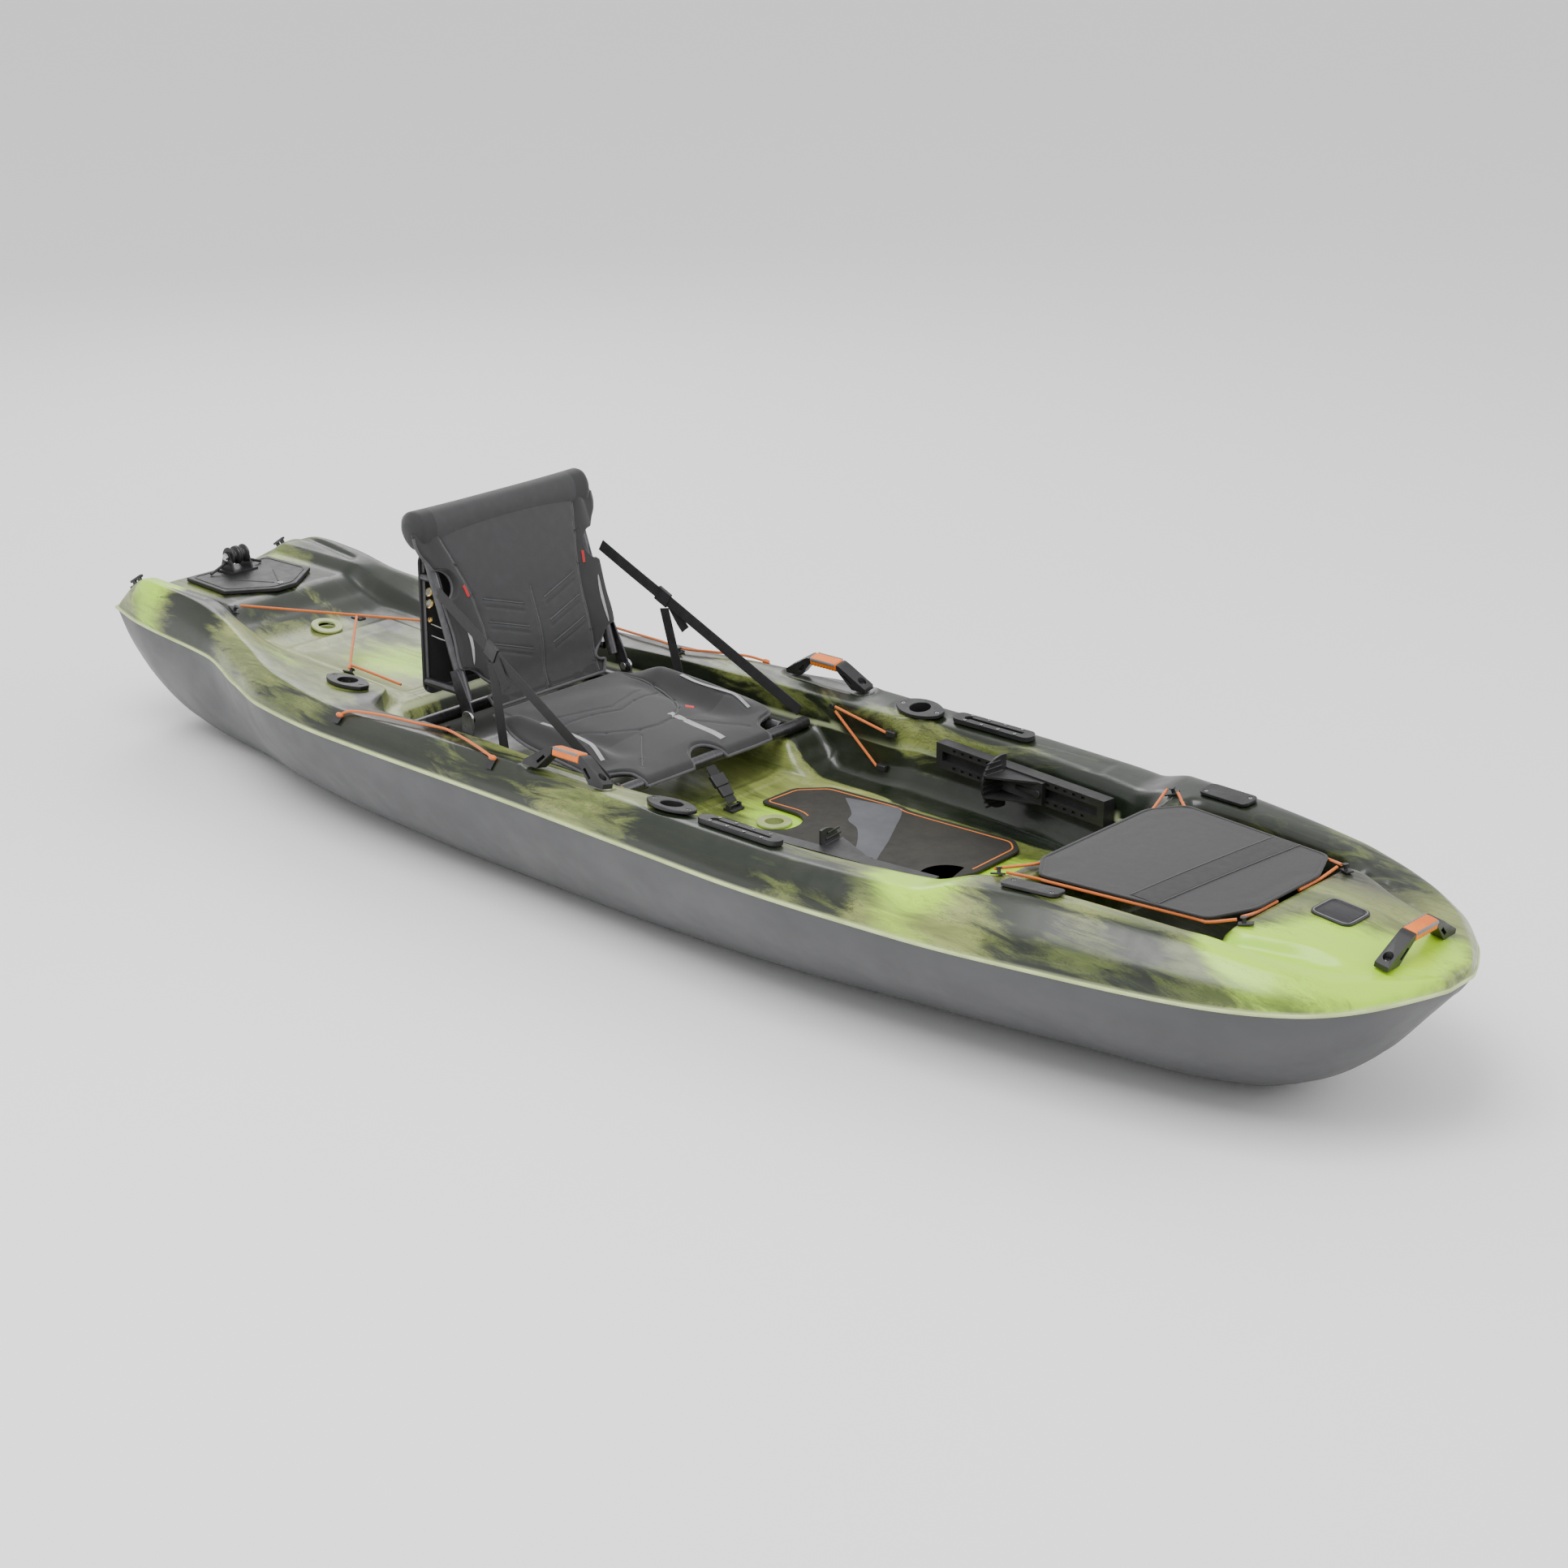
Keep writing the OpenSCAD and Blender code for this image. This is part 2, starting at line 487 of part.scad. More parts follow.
// Its cord runs under the edge and out to each hook
module bow_cover_bungee() color("darkorange") {
    z = cover_z - cord_d / 2 - 0.6;
    rim = [for (p = COVER) [p[0] * kx, p[1] * ky, z]];
    rear = over_deck(HOOK_REAR, hook_up);
    front = over_deck(HOOK_FRONT, hook_up);
    both_sides() {
        cord([rim[0] + [5, -60, 0], rim[0] + [3, 2, 0], rear + [-10, -4, 0]]);
        cord([rear + [14, -4, 0], rim[1] + [-2, 4, 0], rim[1] + [40, 0, 0],
            rim[2] + [-30, 4, 0], rim[2] + [0, 2, 0], front + [-14, 6, 0]]);
        cord([front + [-14, -8, 0], rim[3] + [2, 3, 0], rim[3] + [2, -60, 0]]);
    }
}

// The tank well is laced from a rear hook to hooks each side of its front, through one clip
TANK_REAR = [-1262, -160];
TANK_FRONT = [-862, 186];
tank_up = 16;
clip_l = 30;
module tank_hooks() color("#161618") {
    deck_hook(TANK_REAR, 0);
    both_sides() deck_hook(TANK_FRONT, 0);
    translate((tank_a() + tank_b()) / 2 - [0, 0, 9]) block(clip_l, 16, 5);
}
function tank_a() = over_deck(TANK_REAR, tank_up) + [16, 8, 0];
function tank_b() = over_deck(TANK_FRONT, tank_up) + [-14, -6, 0];
module tank_bungee() color("darkorange") {
    middle = (tank_a() + tank_b()) / 2;
    near = over_deck([TANK_FRONT[0], -TANK_FRONT[1]], tank_up) + [-4, 12, 0];
    seat_end = over_deck([-742, -150], tank_up + 8);
    cord([tank_a(), middle, tank_b()]);
    cord([middle + [4, -8, 0], near, near + [8, 0, 0], seat_end]);
}

// A loop of cord over each gunwale holds a paddle, from a rear tab round a hook to a front tab
PARK = [[-668, 374], [-645, 362], [-570, 348], [-480, 340], [-412, 330], [-340, 348],
    [-270, 370], [-224, 380]];
park_up = 7;
module paddle_bungees() color("darkorange") both_sides() cord(draped(PARK, park_up, 2));
tab_w = 18;
module paddle_hooks() color("#161618") both_sides() {
    deck_hook([-412, 318], 90);
    for (p = [PARK[0], PARK[len(PARK) - 1]]) strap(over_deck(p + [0, 2], park_up - 1),
        over_deck(p + [0, 14], park_up - 1), tab_w, 2, [1, 0, 0]);
}

// A V of cord on each inner wall, from one hook to two clips: plan station and height of each
V_HOOK = [24, lift + 296];
V_CLIPS = [[178, lift + 276], [160, lift + 204]];
v_off = 9;
function on_wall_point(p, off) = [p[0] * kx, wall_y(p[0], p[1]) * ky - off, p[1]];
module wall_bungees() color("darkorange") both_sides() for (c = V_CLIPS)
    cord([on_wall_point(V_HOOK, v_off) + [8, 0, c[1] < lift + 250 ? -9 : 0],
        on_wall_point(c, v_off) - [10, 0, 0]]);
module wall_clips() color("#161618") both_sides() {
    translate(on_wall_point(V_HOOK, 7)) rotate([90, 0, 0]) cylinder(d = 12, h = 6);
    for (c = V_CLIPS) translate(on_wall_point(c, 10) - [8, 4, 6]) cube([22, 10, 12]);
}

// ---------- foot braces ----------

foot_x = 520;
foot_z = lift + 268;
foot_h_track = 50;
foot_t = 28;
slide_w = 20;
slide_d = 12;
slide_gap = 0.4;
foot_half = foot_track_length / 2 / kx;
// The wall's turn towards the middle line along the track
foot_yaw = atan((wall_y(foot_x + foot_half, foot_z) - wall_y(foot_x - foot_half, foot_z)) * ky
    / foot_track_length);
foot_y = min([for (i = [-1 : 0.25 : 1]) for (z = [-25, 25])
    wall_y(foot_x + i * foot_half, foot_z + z) * ky
    - i * foot_track_length / 2 * tan(foot_yaw)]) - 2 * gap;
module foot_frame() translate([foot_x * kx, foot_y, foot_z]) rotate([0, 0, foot_yaw]) children();
tooth = 9;
tooth_pitch = 22;
module foot_track_left() color("#1b1b1d") foot_frame() difference() {
    translate([0, -foot_t / 2, -foot_h_track / 2]) block(foot_track_length, foot_t, foot_h_track);
    translate([-foot_track_length / 2 + 16, -foot_t - 1, -slide_w / 2])
        cube([foot_track_length - 32, slide_d + 1, slide_w]);
    for (s = [-1, 1]) for (x = [-foot_track_length / 2 + 44 : tooth_pitch
            : foot_track_length / 2 - 44]) translate([x, -foot_t - 1, s * 17.5 - 3])
        cube([tooth, 5, 6]);
}
module foot_track_right() mirror([0, 1, 0]) foot_track_left();
pedal_w = 66;
pedal_h = 104;
pedal_t = 5;
arm_l = 92;
carriage_t = 10;
module foot_pedal_left() color("#161618") foot_frame() {
    front = -foot_t - slide_gap;
    // Tongue in the slide, carriage outside it, and two arms that brace the plate
    translate([20, front + slide_d - slide_gap, 0]) rotate([90, 0, 0])
        linear_extrude(slide_d) square([90, slide_w - 2 * slide_gap], center = true);
    translate([20, front - carriage_t / 2, -22]) block(102, carriage_t, 44);
    reach = front - carriage_t + 1;
    for (z = [-22, 18]) translate([-31, 0, z]) linear_extrude(4)
        polygon([[0, reach], [0, reach - 50], [6, reach - 50], [arm_l, reach]]);
    translate([-30, front - pedal_w / 2, 0]) rotate([0, -90, 0]) linear_extrude(pedal_t)
        intersection() {
            square([pedal_h, pedal_w], center = true);
            translate([0, pedal_w / 2 - 10]) circle(d = pedal_h, $fn = 96);
        }
}
module foot_pedal_right() mirror([0, 1, 0]) foot_pedal_left();
lever_l = 54;
lever_t = 5;
lever_pin = 6;
lever_x = 62;
module lever_frame() foot_frame() translate([lever_x, -foot_t - slide_gap - carriage_t, 0])
    rotate([90, 0, 0]) children();
module pedal_lever_left() color("#2b2b2e") lever_frame() translate([0, 0, 0.3]) {
    cylinder(d = lever_pin + 8, h = lever_t);
    translate([-lever_l, -4, 0]) cube([lever_l - 2, 8, lever_t]);
}
module pedal_lever_right() mirror([0, 1, 0]) pedal_lever_left();

// ---------- cockpit floor ----------

pad_t = 6;
pad_z = lift + 168;
pad_notch = 54;
PAD = [[56, 60], [56, 150], [108, 204], [276, 216], [300, 208], [350, 209], [546, 220],
    [582, 186], [588, 60]];
module floor_pad() color("#33302a") translate([0, 0, pad_z]) linear_extrude(pad_t) difference() {
    polygon([for (s = [1, -1]) for (k = [0 : 8]) let (p = PAD[s > 0 ? k : 8 - k])
        [p[0] * kx, s * p[1] * ky]]);
    for (x = [140, 560]) translate([x * kx, 0]) circle(pad_notch);
    translate([0, -pad_notch]) square([140 * kx, 2 * pad_notch]);
    translate([560 * kx, -pad_notch]) square([200, 2 * pad_notch]);
}
ANCHOR_X = 36;
anchor_z = deck_z(ANCHOR_X, 0) + gap;
module strap_anchor() color("#161618") translate([ANCHOR_X * kx, 0, anchor_z]) {
    block(24, 34, 4);
    for (s = [-1, 1]) translate([0, s * 15, 0]) block(10, 4, 12);
    translate([0, 15, 9]) rotate([90, 0, 0]) cylinder(d = 4, h = 30);
}

// ---------- seat ----------

tube_r = tube_d / 2;
seat_z = lift + 236 + gap + tube_r;
front_x = -40 * kx;
rear_x = -600 * kx;
side_y = 235 * ky;
module seat_front_tube() color("#4a4a4d") rod([front_x, -294 * ky, seat_z],
    [front_x, 294 * ky, seat_z], tube_d);
module seat_rear_tube() color("#4a4a4d") rod([rear_x, -side_y - tube_r, seat_z],
    [rear_x, side_y + tube_r, seat_z], tube_d);
module seat_side_tubes() color("#4a4a4d") both_sides()
    rod([front_x - tube_r - 0.3, side_y, seat_z], [rear_x + tube_r + 0.3, side_y, seat_z], tube_d);

// The base is one sling stretched over the tubes, rising a little to the back
sling_t = 16;
sling_rise = 3.4;
sling_rear = -405;
BASE = [[-26, 48], [-26, 174], [-60, 178], [-84, 206], [-84, 244], [-112, 256], [-200, 252],
    [-330, 232], [-385, 204], [sling_rear, 180]];
module seat_base_sling() color("#414144") translate([front_x, 0, seat_z + tube_r + 1])
    rotate([0, sling_rise, 0]) linear_extrude(sling_t) difference() {
        polygon([for (s = [1, -1]) for (k = [0 : 9]) let (p = BASE[s > 0 ? k : 9 - k])
            [(p[0] + 40) * kx, s * p[1] * ky]]);
        translate([20 * kx, 0]) circle(44);
    }

// The backrest turns about the hinge line
hinge_x = -466 * kx;
hinge_z = seat_z + 42;
lug_t = 5;
bracket_t = 4;
side_gap = 0.5;
upright_r = 11;
lug_y = side_y - tube_r - lug_t;
bracket_y = lug_y - side_gap - bracket_t;
upright_y = bracket_y - upright_r;
upright_set = -10;
module in_back() translate([hinge_x, 0, hinge_z]) rotate([0, -back_lean, 0]) children();
function back_point(x, y, z) = [hinge_x + x * cos(back_lean) - z * sin(back_lean), y,
    hinge_z + x * sin(back_lean) + z * cos(back_lean)];
module hinge_pins() color("#8a8a8e") both_sides() {
    translate([hinge_x, lug_y + lug_t, 0]) rotate([90, 0, 0]) linear_extrude(lug_t) union() {
        translate([0, hinge_z]) circle(d = 30);
        translate([-15, seat_z - 4]) square([30, hinge_z - seat_z + 4]);
    }
    translate([hinge_x, lug_y + 1, hinge_z]) rotate([90, 0, 0])
        cylinder(d = pin_d, h = 1 + 2 * side_gap + bracket_t + 1);
    translate([hinge_x, bracket_y - side_gap, hinge_z]) rotate([90, 0, 0])
        cylinder(d = 2 * pin_d, h = 3);
}
// Sickle plates on the uprights, bored for the pins
module hinge_brackets() color("#3c3c3f") both_sides() in_back() translate([0, bracket_y, 0])
    rotate([90, 0, 0]) mirror([0, 0, 1]) linear_extrude(bracket_t) difference() {
        union() {
            circle(r = 14);
            polygon([[-14, 0], [14, 0], [12, 30], [2, 96], [-20, 96], [-22, 40]]);
        }
        circle(d = pin_d + 2 * running);
    }
module back_uprights() color("#4a4a4d") both_sides() in_back()
    translate([upright_set, upright_y, 30]) cylinder(r = upright_r, h = back_height - 40);
panel_x = hinge_x - 146;
panel_t = 5;
panel_low = seat_z + 52;
panel_h = 298;
panel_y = 205 * ky;
strut_d = 16;
STRUT_Z = [hinge_z + 40, hinge_z + 256];
module back_cross_tubes() color("#5a5a5e") {
    both_sides() for (z = STRUT_Z) {
        up = (z - hinge_z + upright_set * -sin(back_lean)) / cos(back_lean);
        end_x = back_point(upright_set, 0, up)[0] - upright_r / cos(back_lean) - 3;
        rod([panel_x + panel_t + 0.3, upright_y - 4, z], [end_x, upright_y - 4, z], strut_d);
    }
    in_back() translate([upright_set, upright_y - upright_r - 0.3, back_height - 24])
        rotate([90, 0, 0]) cylinder(r = upright_r, h = 2 * (upright_y - upright_r - 0.3));
}
// The outline of the back, half its width against height over the hinge
BACK = [[35, 160], [52, 196], [110, 204], [250, 208], [292, 212], [326, 234], [392, 236],
    [418, 222], [428, 190]];
module back_sling() color("#414144") in_back() translate([2, 0, 0]) rotate([90, 0, 90])
    linear_extrude(18) polygon([for (s = [1, -1]) for (k = [0 : 8]) let (p = BACK[s > 0 ? k : 8 - k])
        [s * p[1] * ky, p[0] * back_height / 428]]);
module back_panel() color("#0c0c0d") translate([panel_x, 0, panel_low]) rotate([90, 0, 90])
    linear_extrude(panel_t) difference() {
        translate([0, panel_h / 2]) rounded_rect(2 * panel_y, panel_h, 26);
        for (s = [-1, 1]) {
            translate([s * (panel_y - 22), panel_h - 88]) circle(d = 18);
            translate([s * (panel_y - 22), panel_h - 112]) circle(d = 18);
            translate([s * (panel_y - 22), panel_h - 145]) circle(d = 9);
        }
        for (s = [-1, 1]) for (k = [0 : 2]) translate([s * 70, 70 + 74 * k]) rounded_rect(70, 34, 12);
    }
module panel_lacing() color("silver") both_sides() for (z = [130, 154]) {
    end = back_point(1.4, upright_y - upright_r - 6, z + 12);
    rod([panel_x + panel_t + 0.4, panel_y - 24 * ky, hinge_z + z], end, 2.4);
}

// Webbing: a strap each side from the back to the front tube, through a ladder lock, and a
// riser from the lock to the side tube
web_w = 25;
web_t = 2;
strap_top = back_point(16.5, lug_y + lug_t, 252);
strap_low = [-32 * kx, 266 * ky, seat_z + tube_r + 20];
lock_at = strap_top + (strap_low - strap_top) * 0.32;
lock_l = 34;
lock_dir = unit(strap_low - strap_top);
riser_low = [-334 * kx, side_y + tube_r, seat_z + tube_r + 3];
module recline_straps() color("#151516") both_sides() {
    strap(strap_top, lock_at - lock_dir * (lock_l / 2 + 0.3), web_w, web_t, [0, 0, 1]);
    strap(lock_at + lock_dir * (lock_l / 2 + 0.3), strap_low, web_w, web_t, [0, 0, 1]);
}
module strap_buckles() color("#101011") both_sides() {
    strap(lock_at - lock_dir * lock_l / 2, lock_at + lock_dir * lock_l / 2, web_w + 7, 7, [0, 0, 1]);
}
module side_straps() color("#151516") both_sides()
    strap(riser_low, lock_at + [2, 0.5, -24], web_w, web_t, [1, 0, 0]);

// The front strap holds the seat down to the floor anchor through a side-release buckle
web_a = [front_x + tube_r + 2, 0, seat_z - 9];
web_b = [ANCHOR_X * kx - 3, 0, anchor_z + 14];
web_dir = unit(web_b - web_a);
buckle_a = 0.24 * norm(web_b - web_a);
housing_l = 26;
plug_l = 22;
module front_strap() color("#151516") {
    strap(web_a, web_a + web_dir * (buckle_a - 0.3), web_w, web_t, [0, 1, 0]);
    strap(web_a + web_dir * (buckle_a + housing_l + plug_l + 0.6), web_b, web_w, web_t, [0, 1, 0]);
}
module buckle_housing() color("#0f0f10") strap(web_a + web_dir * buckle_a,
    web_a + web_dir * (buckle_a + housing_l), 36, 9, [0, 1, 0]);
module buckle_plug() color("#0f0f10") strap(web_a + web_dir * (buckle_a + housing_l + 0.3),
    web_a + web_dir * (buckle_a + housing_l + plug_l + 0.3), 30, 7, [0, 1, 0]);

// ---------- stern ----------

stern_t = 9;
module stern_frame() on_deck(-1395, 0, 200, 200) children();
module stern_plate() color("#1d1d1f") stern_frame() linear_extrude(stern_t)
    polygon([[-86, -112 * ky], [52, -120 * ky], [118, -26], [118, 26], [52, 120 * ky],
        [-86, 112 * ky]]);
roller_d = 40;
roller_w = 22;
axle_d = 8;
axle_up = 34;
bracket_x = -52;
cheek_t = 4;
module roller_frame() stern_frame() translate([bracket_x, 0, stern_t + 0.3]) children();
cheek_y = roller_w + 1.5 * side_gap + cheek_t;
module roller_bracket() color("#131314") roller_frame() {
    block(54, 2 * cheek_y + 20, 4);
    for (s = [-1, 1]) difference() {
        translate([0, s * (cheek_y - cheek_t / 2) + cheek_t / 2, 0]) rotate([90, 0, 0])
            linear_extrude(cheek_t) polygon([[-24, 2], [-9, axle_up + 9], [9, axle_up + 9], [24, 2]]);
        translate([0, s * 60, axle_up]) rotate([s * 90, 0, 0]) cylinder(d = axle_d + 0.1, h = 60);
    }
    for (s = [-1, 1]) rod([-4, s * (cheek_y - 1), 20], [-4, s * (cheek_y + 42), 3], 6);
}
module roller_axle() color("#8a8a8e") roller_frame() translate([0, cheek_y + 3, axle_up])
    rotate([90, 0, 0]) cylinder(d = axle_d, h = 2 * cheek_y + 6);
// A grooved roller, bored to run on the axle
module roller(s) color("#1b1b1d") roller_frame() translate([0, s * (roller_w + side_gap) / 2, axle_up])
    rotate([90, 0, 0]) rotate_extrude() polygon([[axle_d / 2 + running, -roller_w / 2],
        [roller_d / 2, -roller_w / 2], [roller_d / 2, -roller_w / 2 + 4], [roller_d / 2 - 8, -3],
        [roller_d / 2 - 8, 3], [roller_d / 2, roller_w / 2 - 4], [roller_d / 2, roller_w / 2],
        [axle_d / 2 + running, roller_w / 2]]);
module roller_left() roller(1);
module roller_right() roller(-1);
module stern_cleats() color("#0f0f10") both_sides() on_deck(-1536, 199, 46, 18) {
    block(42, 16, 5);
    for (s = [-1, 1]) translate([s * 10, 0, 4]) cylinder(d = 10, h = 10);
    translate([0, 0, 13]) block(40, 8, 5);
}

// ---------- screws ----------

module screw(d = 10, h = 3) cylinder(d = d, h = h);
module fitting_screws() color("#9a9a9e") {
    both_sides() {
        side_handle_frame() for (s = [-1, 1])
            translate([s * (handle_half - toe + 6), 0, foot_h + 0.2]) screw();
        track_frame() for (x = [-60, -20, 20, 60]) for (s = [-1, 1])
            translate([x, s * (track_width / 2 - 4.5), track_h + 0.2]) screw(6, 1.5);
        plate_frame() for (s = [-1, 1])
            translate([s * plate_screw[0], s * plate_screw[1], plate_h - 2.4]) screw(7, 1.8);
        for (p = [ROD_FRONT, ROD_REAR]) rod_frame(p) for (s = [-1, 1])
            translate([s * flange_screw, 0, flange_h - 2.8]) screw(8, 2);
    }
    bow_handle_frame() for (s = [-1, 1])
        translate([s * (handle_half - toe + 6), 0, foot_h + 0.2]) screw();
    stern_frame() translate([96, 0, stern_t + 0.2]) screw(12, 2);
}

hull_shell();
deck_shell();
foam_stringers();
scupper_tubes();
drain_socket();
drain_plug();
rod_holder_front_left();
rod_holder_front_right();
rod_holder_rear_left();
rod_holder_rear_right();
gear_track_left();
gear_track_right();
accessory_plates();
side_handle_left();
side_handle_right();
side_grips();
bow_handle();
bow_grip();
bow_badge();
bow_cover();
bow_cover_bungee();
bow_hooks();
tank_bungee();
tank_hooks();
paddle_bungees();
paddle_hooks();
wall_bungees();
wall_clips();
foot_track_left();
foot_track_right();
foot_pedal_left();
foot_pedal_right();
pedal_lever_left();
pedal_lever_right();
floor_pad();
strap_anchor();
front_strap();
buckle_housing();
buckle_plug();
stern_plate();
roller_bracket();
roller_axle();
roller_left();
roller_right();
stern_cleats();
seat_front_tube();
seat_side_tubes();
seat_rear_tube();
seat_base_sling();
back_uprights();
back_cross_tubes();
back_sling();
back_panel();
panel_lacing();
hinge_brackets();
hinge_pins();
recline_straps();
strap_buckles();
side_straps();
fitting_screws();
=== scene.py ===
"""Looks of a sit-on-top fishing kayak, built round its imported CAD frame."""

import json
import logging
import math
from dataclasses import dataclass, field
from enum import Enum
from typing import Sequence

import bmesh
import bpy
import numpy as np
from mathutils import Euler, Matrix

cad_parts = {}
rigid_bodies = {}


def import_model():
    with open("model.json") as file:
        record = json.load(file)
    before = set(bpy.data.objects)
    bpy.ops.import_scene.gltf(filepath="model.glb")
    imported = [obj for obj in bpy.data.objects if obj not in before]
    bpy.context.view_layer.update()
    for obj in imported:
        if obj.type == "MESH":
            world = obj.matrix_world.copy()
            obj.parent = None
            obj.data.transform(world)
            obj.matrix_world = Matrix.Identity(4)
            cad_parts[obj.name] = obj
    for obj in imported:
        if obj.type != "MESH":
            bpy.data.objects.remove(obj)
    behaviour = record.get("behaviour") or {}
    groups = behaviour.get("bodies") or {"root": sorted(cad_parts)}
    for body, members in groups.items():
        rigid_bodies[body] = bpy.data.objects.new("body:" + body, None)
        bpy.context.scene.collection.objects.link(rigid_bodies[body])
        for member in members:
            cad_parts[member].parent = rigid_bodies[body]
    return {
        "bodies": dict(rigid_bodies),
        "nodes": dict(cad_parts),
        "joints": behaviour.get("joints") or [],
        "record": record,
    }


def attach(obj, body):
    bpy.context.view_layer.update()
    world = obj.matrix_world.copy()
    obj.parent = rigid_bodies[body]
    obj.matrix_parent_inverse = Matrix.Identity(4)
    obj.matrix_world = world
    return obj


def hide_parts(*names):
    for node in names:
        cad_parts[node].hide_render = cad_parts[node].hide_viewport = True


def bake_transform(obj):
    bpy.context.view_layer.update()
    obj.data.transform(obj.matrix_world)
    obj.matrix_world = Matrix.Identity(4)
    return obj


LOG = logging.getLogger("kayak")
Array = np.ndarray
Colour = tuple[float, float, float]
Point = tuple[float, float, float]
MM = 0.001
BOAT = "boat"
BACK = "backrest"
HINGE = (-466.0, 291.5)
LEAN = 19.6
SHARP = math.radians(32.0)
MIRROR = np.array([1, -1, 1])


# ---------------------------------------------------------------- shader arithmetic


class Value:
    """A number or vector that flows through a shader, with arithmetic on it."""

    def __init__(self, shader: "Shader", socket: bpy.types.NodeSocket) -> None:
        """Keeps the shader and the output socket that the value comes from."""
        self.shader = shader
        self.socket = socket

    def _math(self, kind: str, *others: "Value | float") -> "Value":
        """Puts a Math node of one kind after this value."""
        node = self.shader.node("ShaderNodeMath", {"operation": kind})
        for slot, item in zip(node.inputs, (self, *others)):
            self.shader.feed(slot, item)
        return Value(self.shader, node.outputs[0])

    def __add__(self, other: "Value | float") -> "Value":
        """This value plus another."""
        return self._math("ADD", other)

    def __radd__(self, other: float) -> "Value":
        """A number plus this value."""
        return self._math("ADD", other)

    def __sub__(self, other: "Value | float") -> "Value":
        """This value less another."""
        return self._math("SUBTRACT", other)

    def __rsub__(self, other: float) -> "Value":
        """A number less this value."""
        return (self * -1.0)._math("ADD", other)

    def __mul__(self, other: "Value | float") -> "Value":
        """This value times another."""
        return self._math("MULTIPLY", other)

    def __rmul__(self, other: float) -> "Value":
        """A number times this value."""
        return self._math("MULTIPLY", other)

    def wave(self) -> "Value":
        """The sine of this value."""
        return self._math("SINE")

    def size(self) -> "Value":
        """This value without its sign."""
        return self._math("ABSOLUTE")

    def most(self, other: "Value | float") -> "Value":
        """The larger of this value and another."""
        return self._math("MAXIMUM", other)

    def between(self, low: float, high: float, out: tuple[float, float] = (0.0, 1.0)) -> "Value":
        """A smooth step from out[0] at low to out[1] at high."""
        node = self.shader.node("ShaderNodeMapRange", {"interpolation_type": "SMOOTHSTEP"},
                                {"From Min": low, "From Max": high, "To Min": out[0],
                                 "To Max": out[1], "Value": self})
        return Value(self.shader, node.outputs["Result"])

    def vector(self, kind: str, other: "Value | Point") -> "Value":
        """Puts a Vector Math node of one kind after this value."""
        node = self.shader.node("ShaderNodeVectorMath", {"operation": kind})
        self.shader.feed(node.inputs[0], self)
        self.shader.feed(node.inputs[1], other)
        return Value(self.shader, node.outputs[0])

    def part(self, axis: str) -> "Value":
        """One of the X, Y and Z parts of a vector."""
        node = self.shader.node("ShaderNodeSeparateXYZ", {}, {"Vector": self})
        return Value(self.shader, node.outputs[axis])


class Shader:
    """A material with one Principled surface, built node by node."""

    def __init__(self, name: str, rough: float, metal: float = 0.0) -> None:
        """Makes the material with its constant values on the surface's own sockets."""
        self.material = bpy.data.materials.new(name)
        self.material.use_nodes = True
        self.tree = self.material.node_tree
        self.surface = self.tree.nodes["Principled BSDF"]
        self.set("Roughness", rough)
        self.set("Metallic", metal)

    def set(self, name: str, value: "Value | float | tuple") -> None:
        """Sets or feeds one socket of the surface."""
        if isinstance(value, tuple) and len(value) == 3 and name != "Normal":
            value = (*value, 1.0)
        self.feed(self.surface.inputs[name], value)

    def feed(self, slot: bpy.types.NodeSocket, item: "Value | float | tuple") -> None:
        """Links a value to a socket, or writes a constant into it."""
        if isinstance(item, Value):
            self.tree.links.new(item.socket, slot)
        else:
            slot.default_value = item

    def node(self, kind: str, settings: dict | None = None,
             inputs: dict | None = None) -> bpy.types.Node:
        """Adds a node.

        Args:
            kind: Blender's name of the node type.
            settings: attributes of the node.
            inputs: socket names or numbers, and the value for each.

        Returns:
            The new node.
        """
        new = self.tree.nodes.new(kind)
        for key, value in (settings or {}).items():
            setattr(new, key, value)
        for key, value in (inputs or {}).items():
            self.feed(new.inputs[key], value)
        return new

    def place(self) -> Value:
        """Object coordinates, in metres."""
        return Value(self, self.node("ShaderNodeTexCoord").outputs["Object"])

    def along(self) -> Value:
        """The piece's own UV map, in metres across and along it."""
        return Value(self, self.node("ShaderNodeTexCoord").outputs["UV"])

    def attribute(self, name: str) -> Value:
        """A number kept at each vertex."""
        kept = self.node("ShaderNodeAttribute", {"attribute_name": name})
        return Value(self, kept.outputs["Fac"])

    def noise(self, at: Value, scale: float, detail: float = 3.0, rough: float = 0.5,
              distortion: float = 0.0, colour: bool = False) -> Value:
        """Fractal noise at a place, between 0 and 1."""
        new = self.node("ShaderNodeTexNoise", {}, {"Vector": at, "Scale": scale, "Detail": detail,
                                                   "Roughness": rough, "Distortion": distortion})
        return Value(self, new.outputs[1 if colour else 0])

    def mix(self, low: "Value | Colour", high: "Value | Colour", amount: Value) -> Value:
        """A colour between two colours."""
        new = self.node("ShaderNodeMix", {"data_type": "RGBA"})
        self.feed(new.inputs[0], amount)
        for number, item in ((6, low), (7, high)):
            self.feed(new.inputs[number], (*item, 1.0) if isinstance(item, tuple) else item)
        return Value(self, new.outputs[2])

    def relief(self, height: Value, depth: float, strength: float = 1.0) -> None:
        """Raises the surface by a height, at most depth metres."""
        new = self.node("ShaderNodeBump", {}, {"Height": height, "Strength": strength,
                                               "Distance": depth})
        self.set("Normal", Value(self, new.outputs[0]))


# ---------------------------------------------------------------- finishes


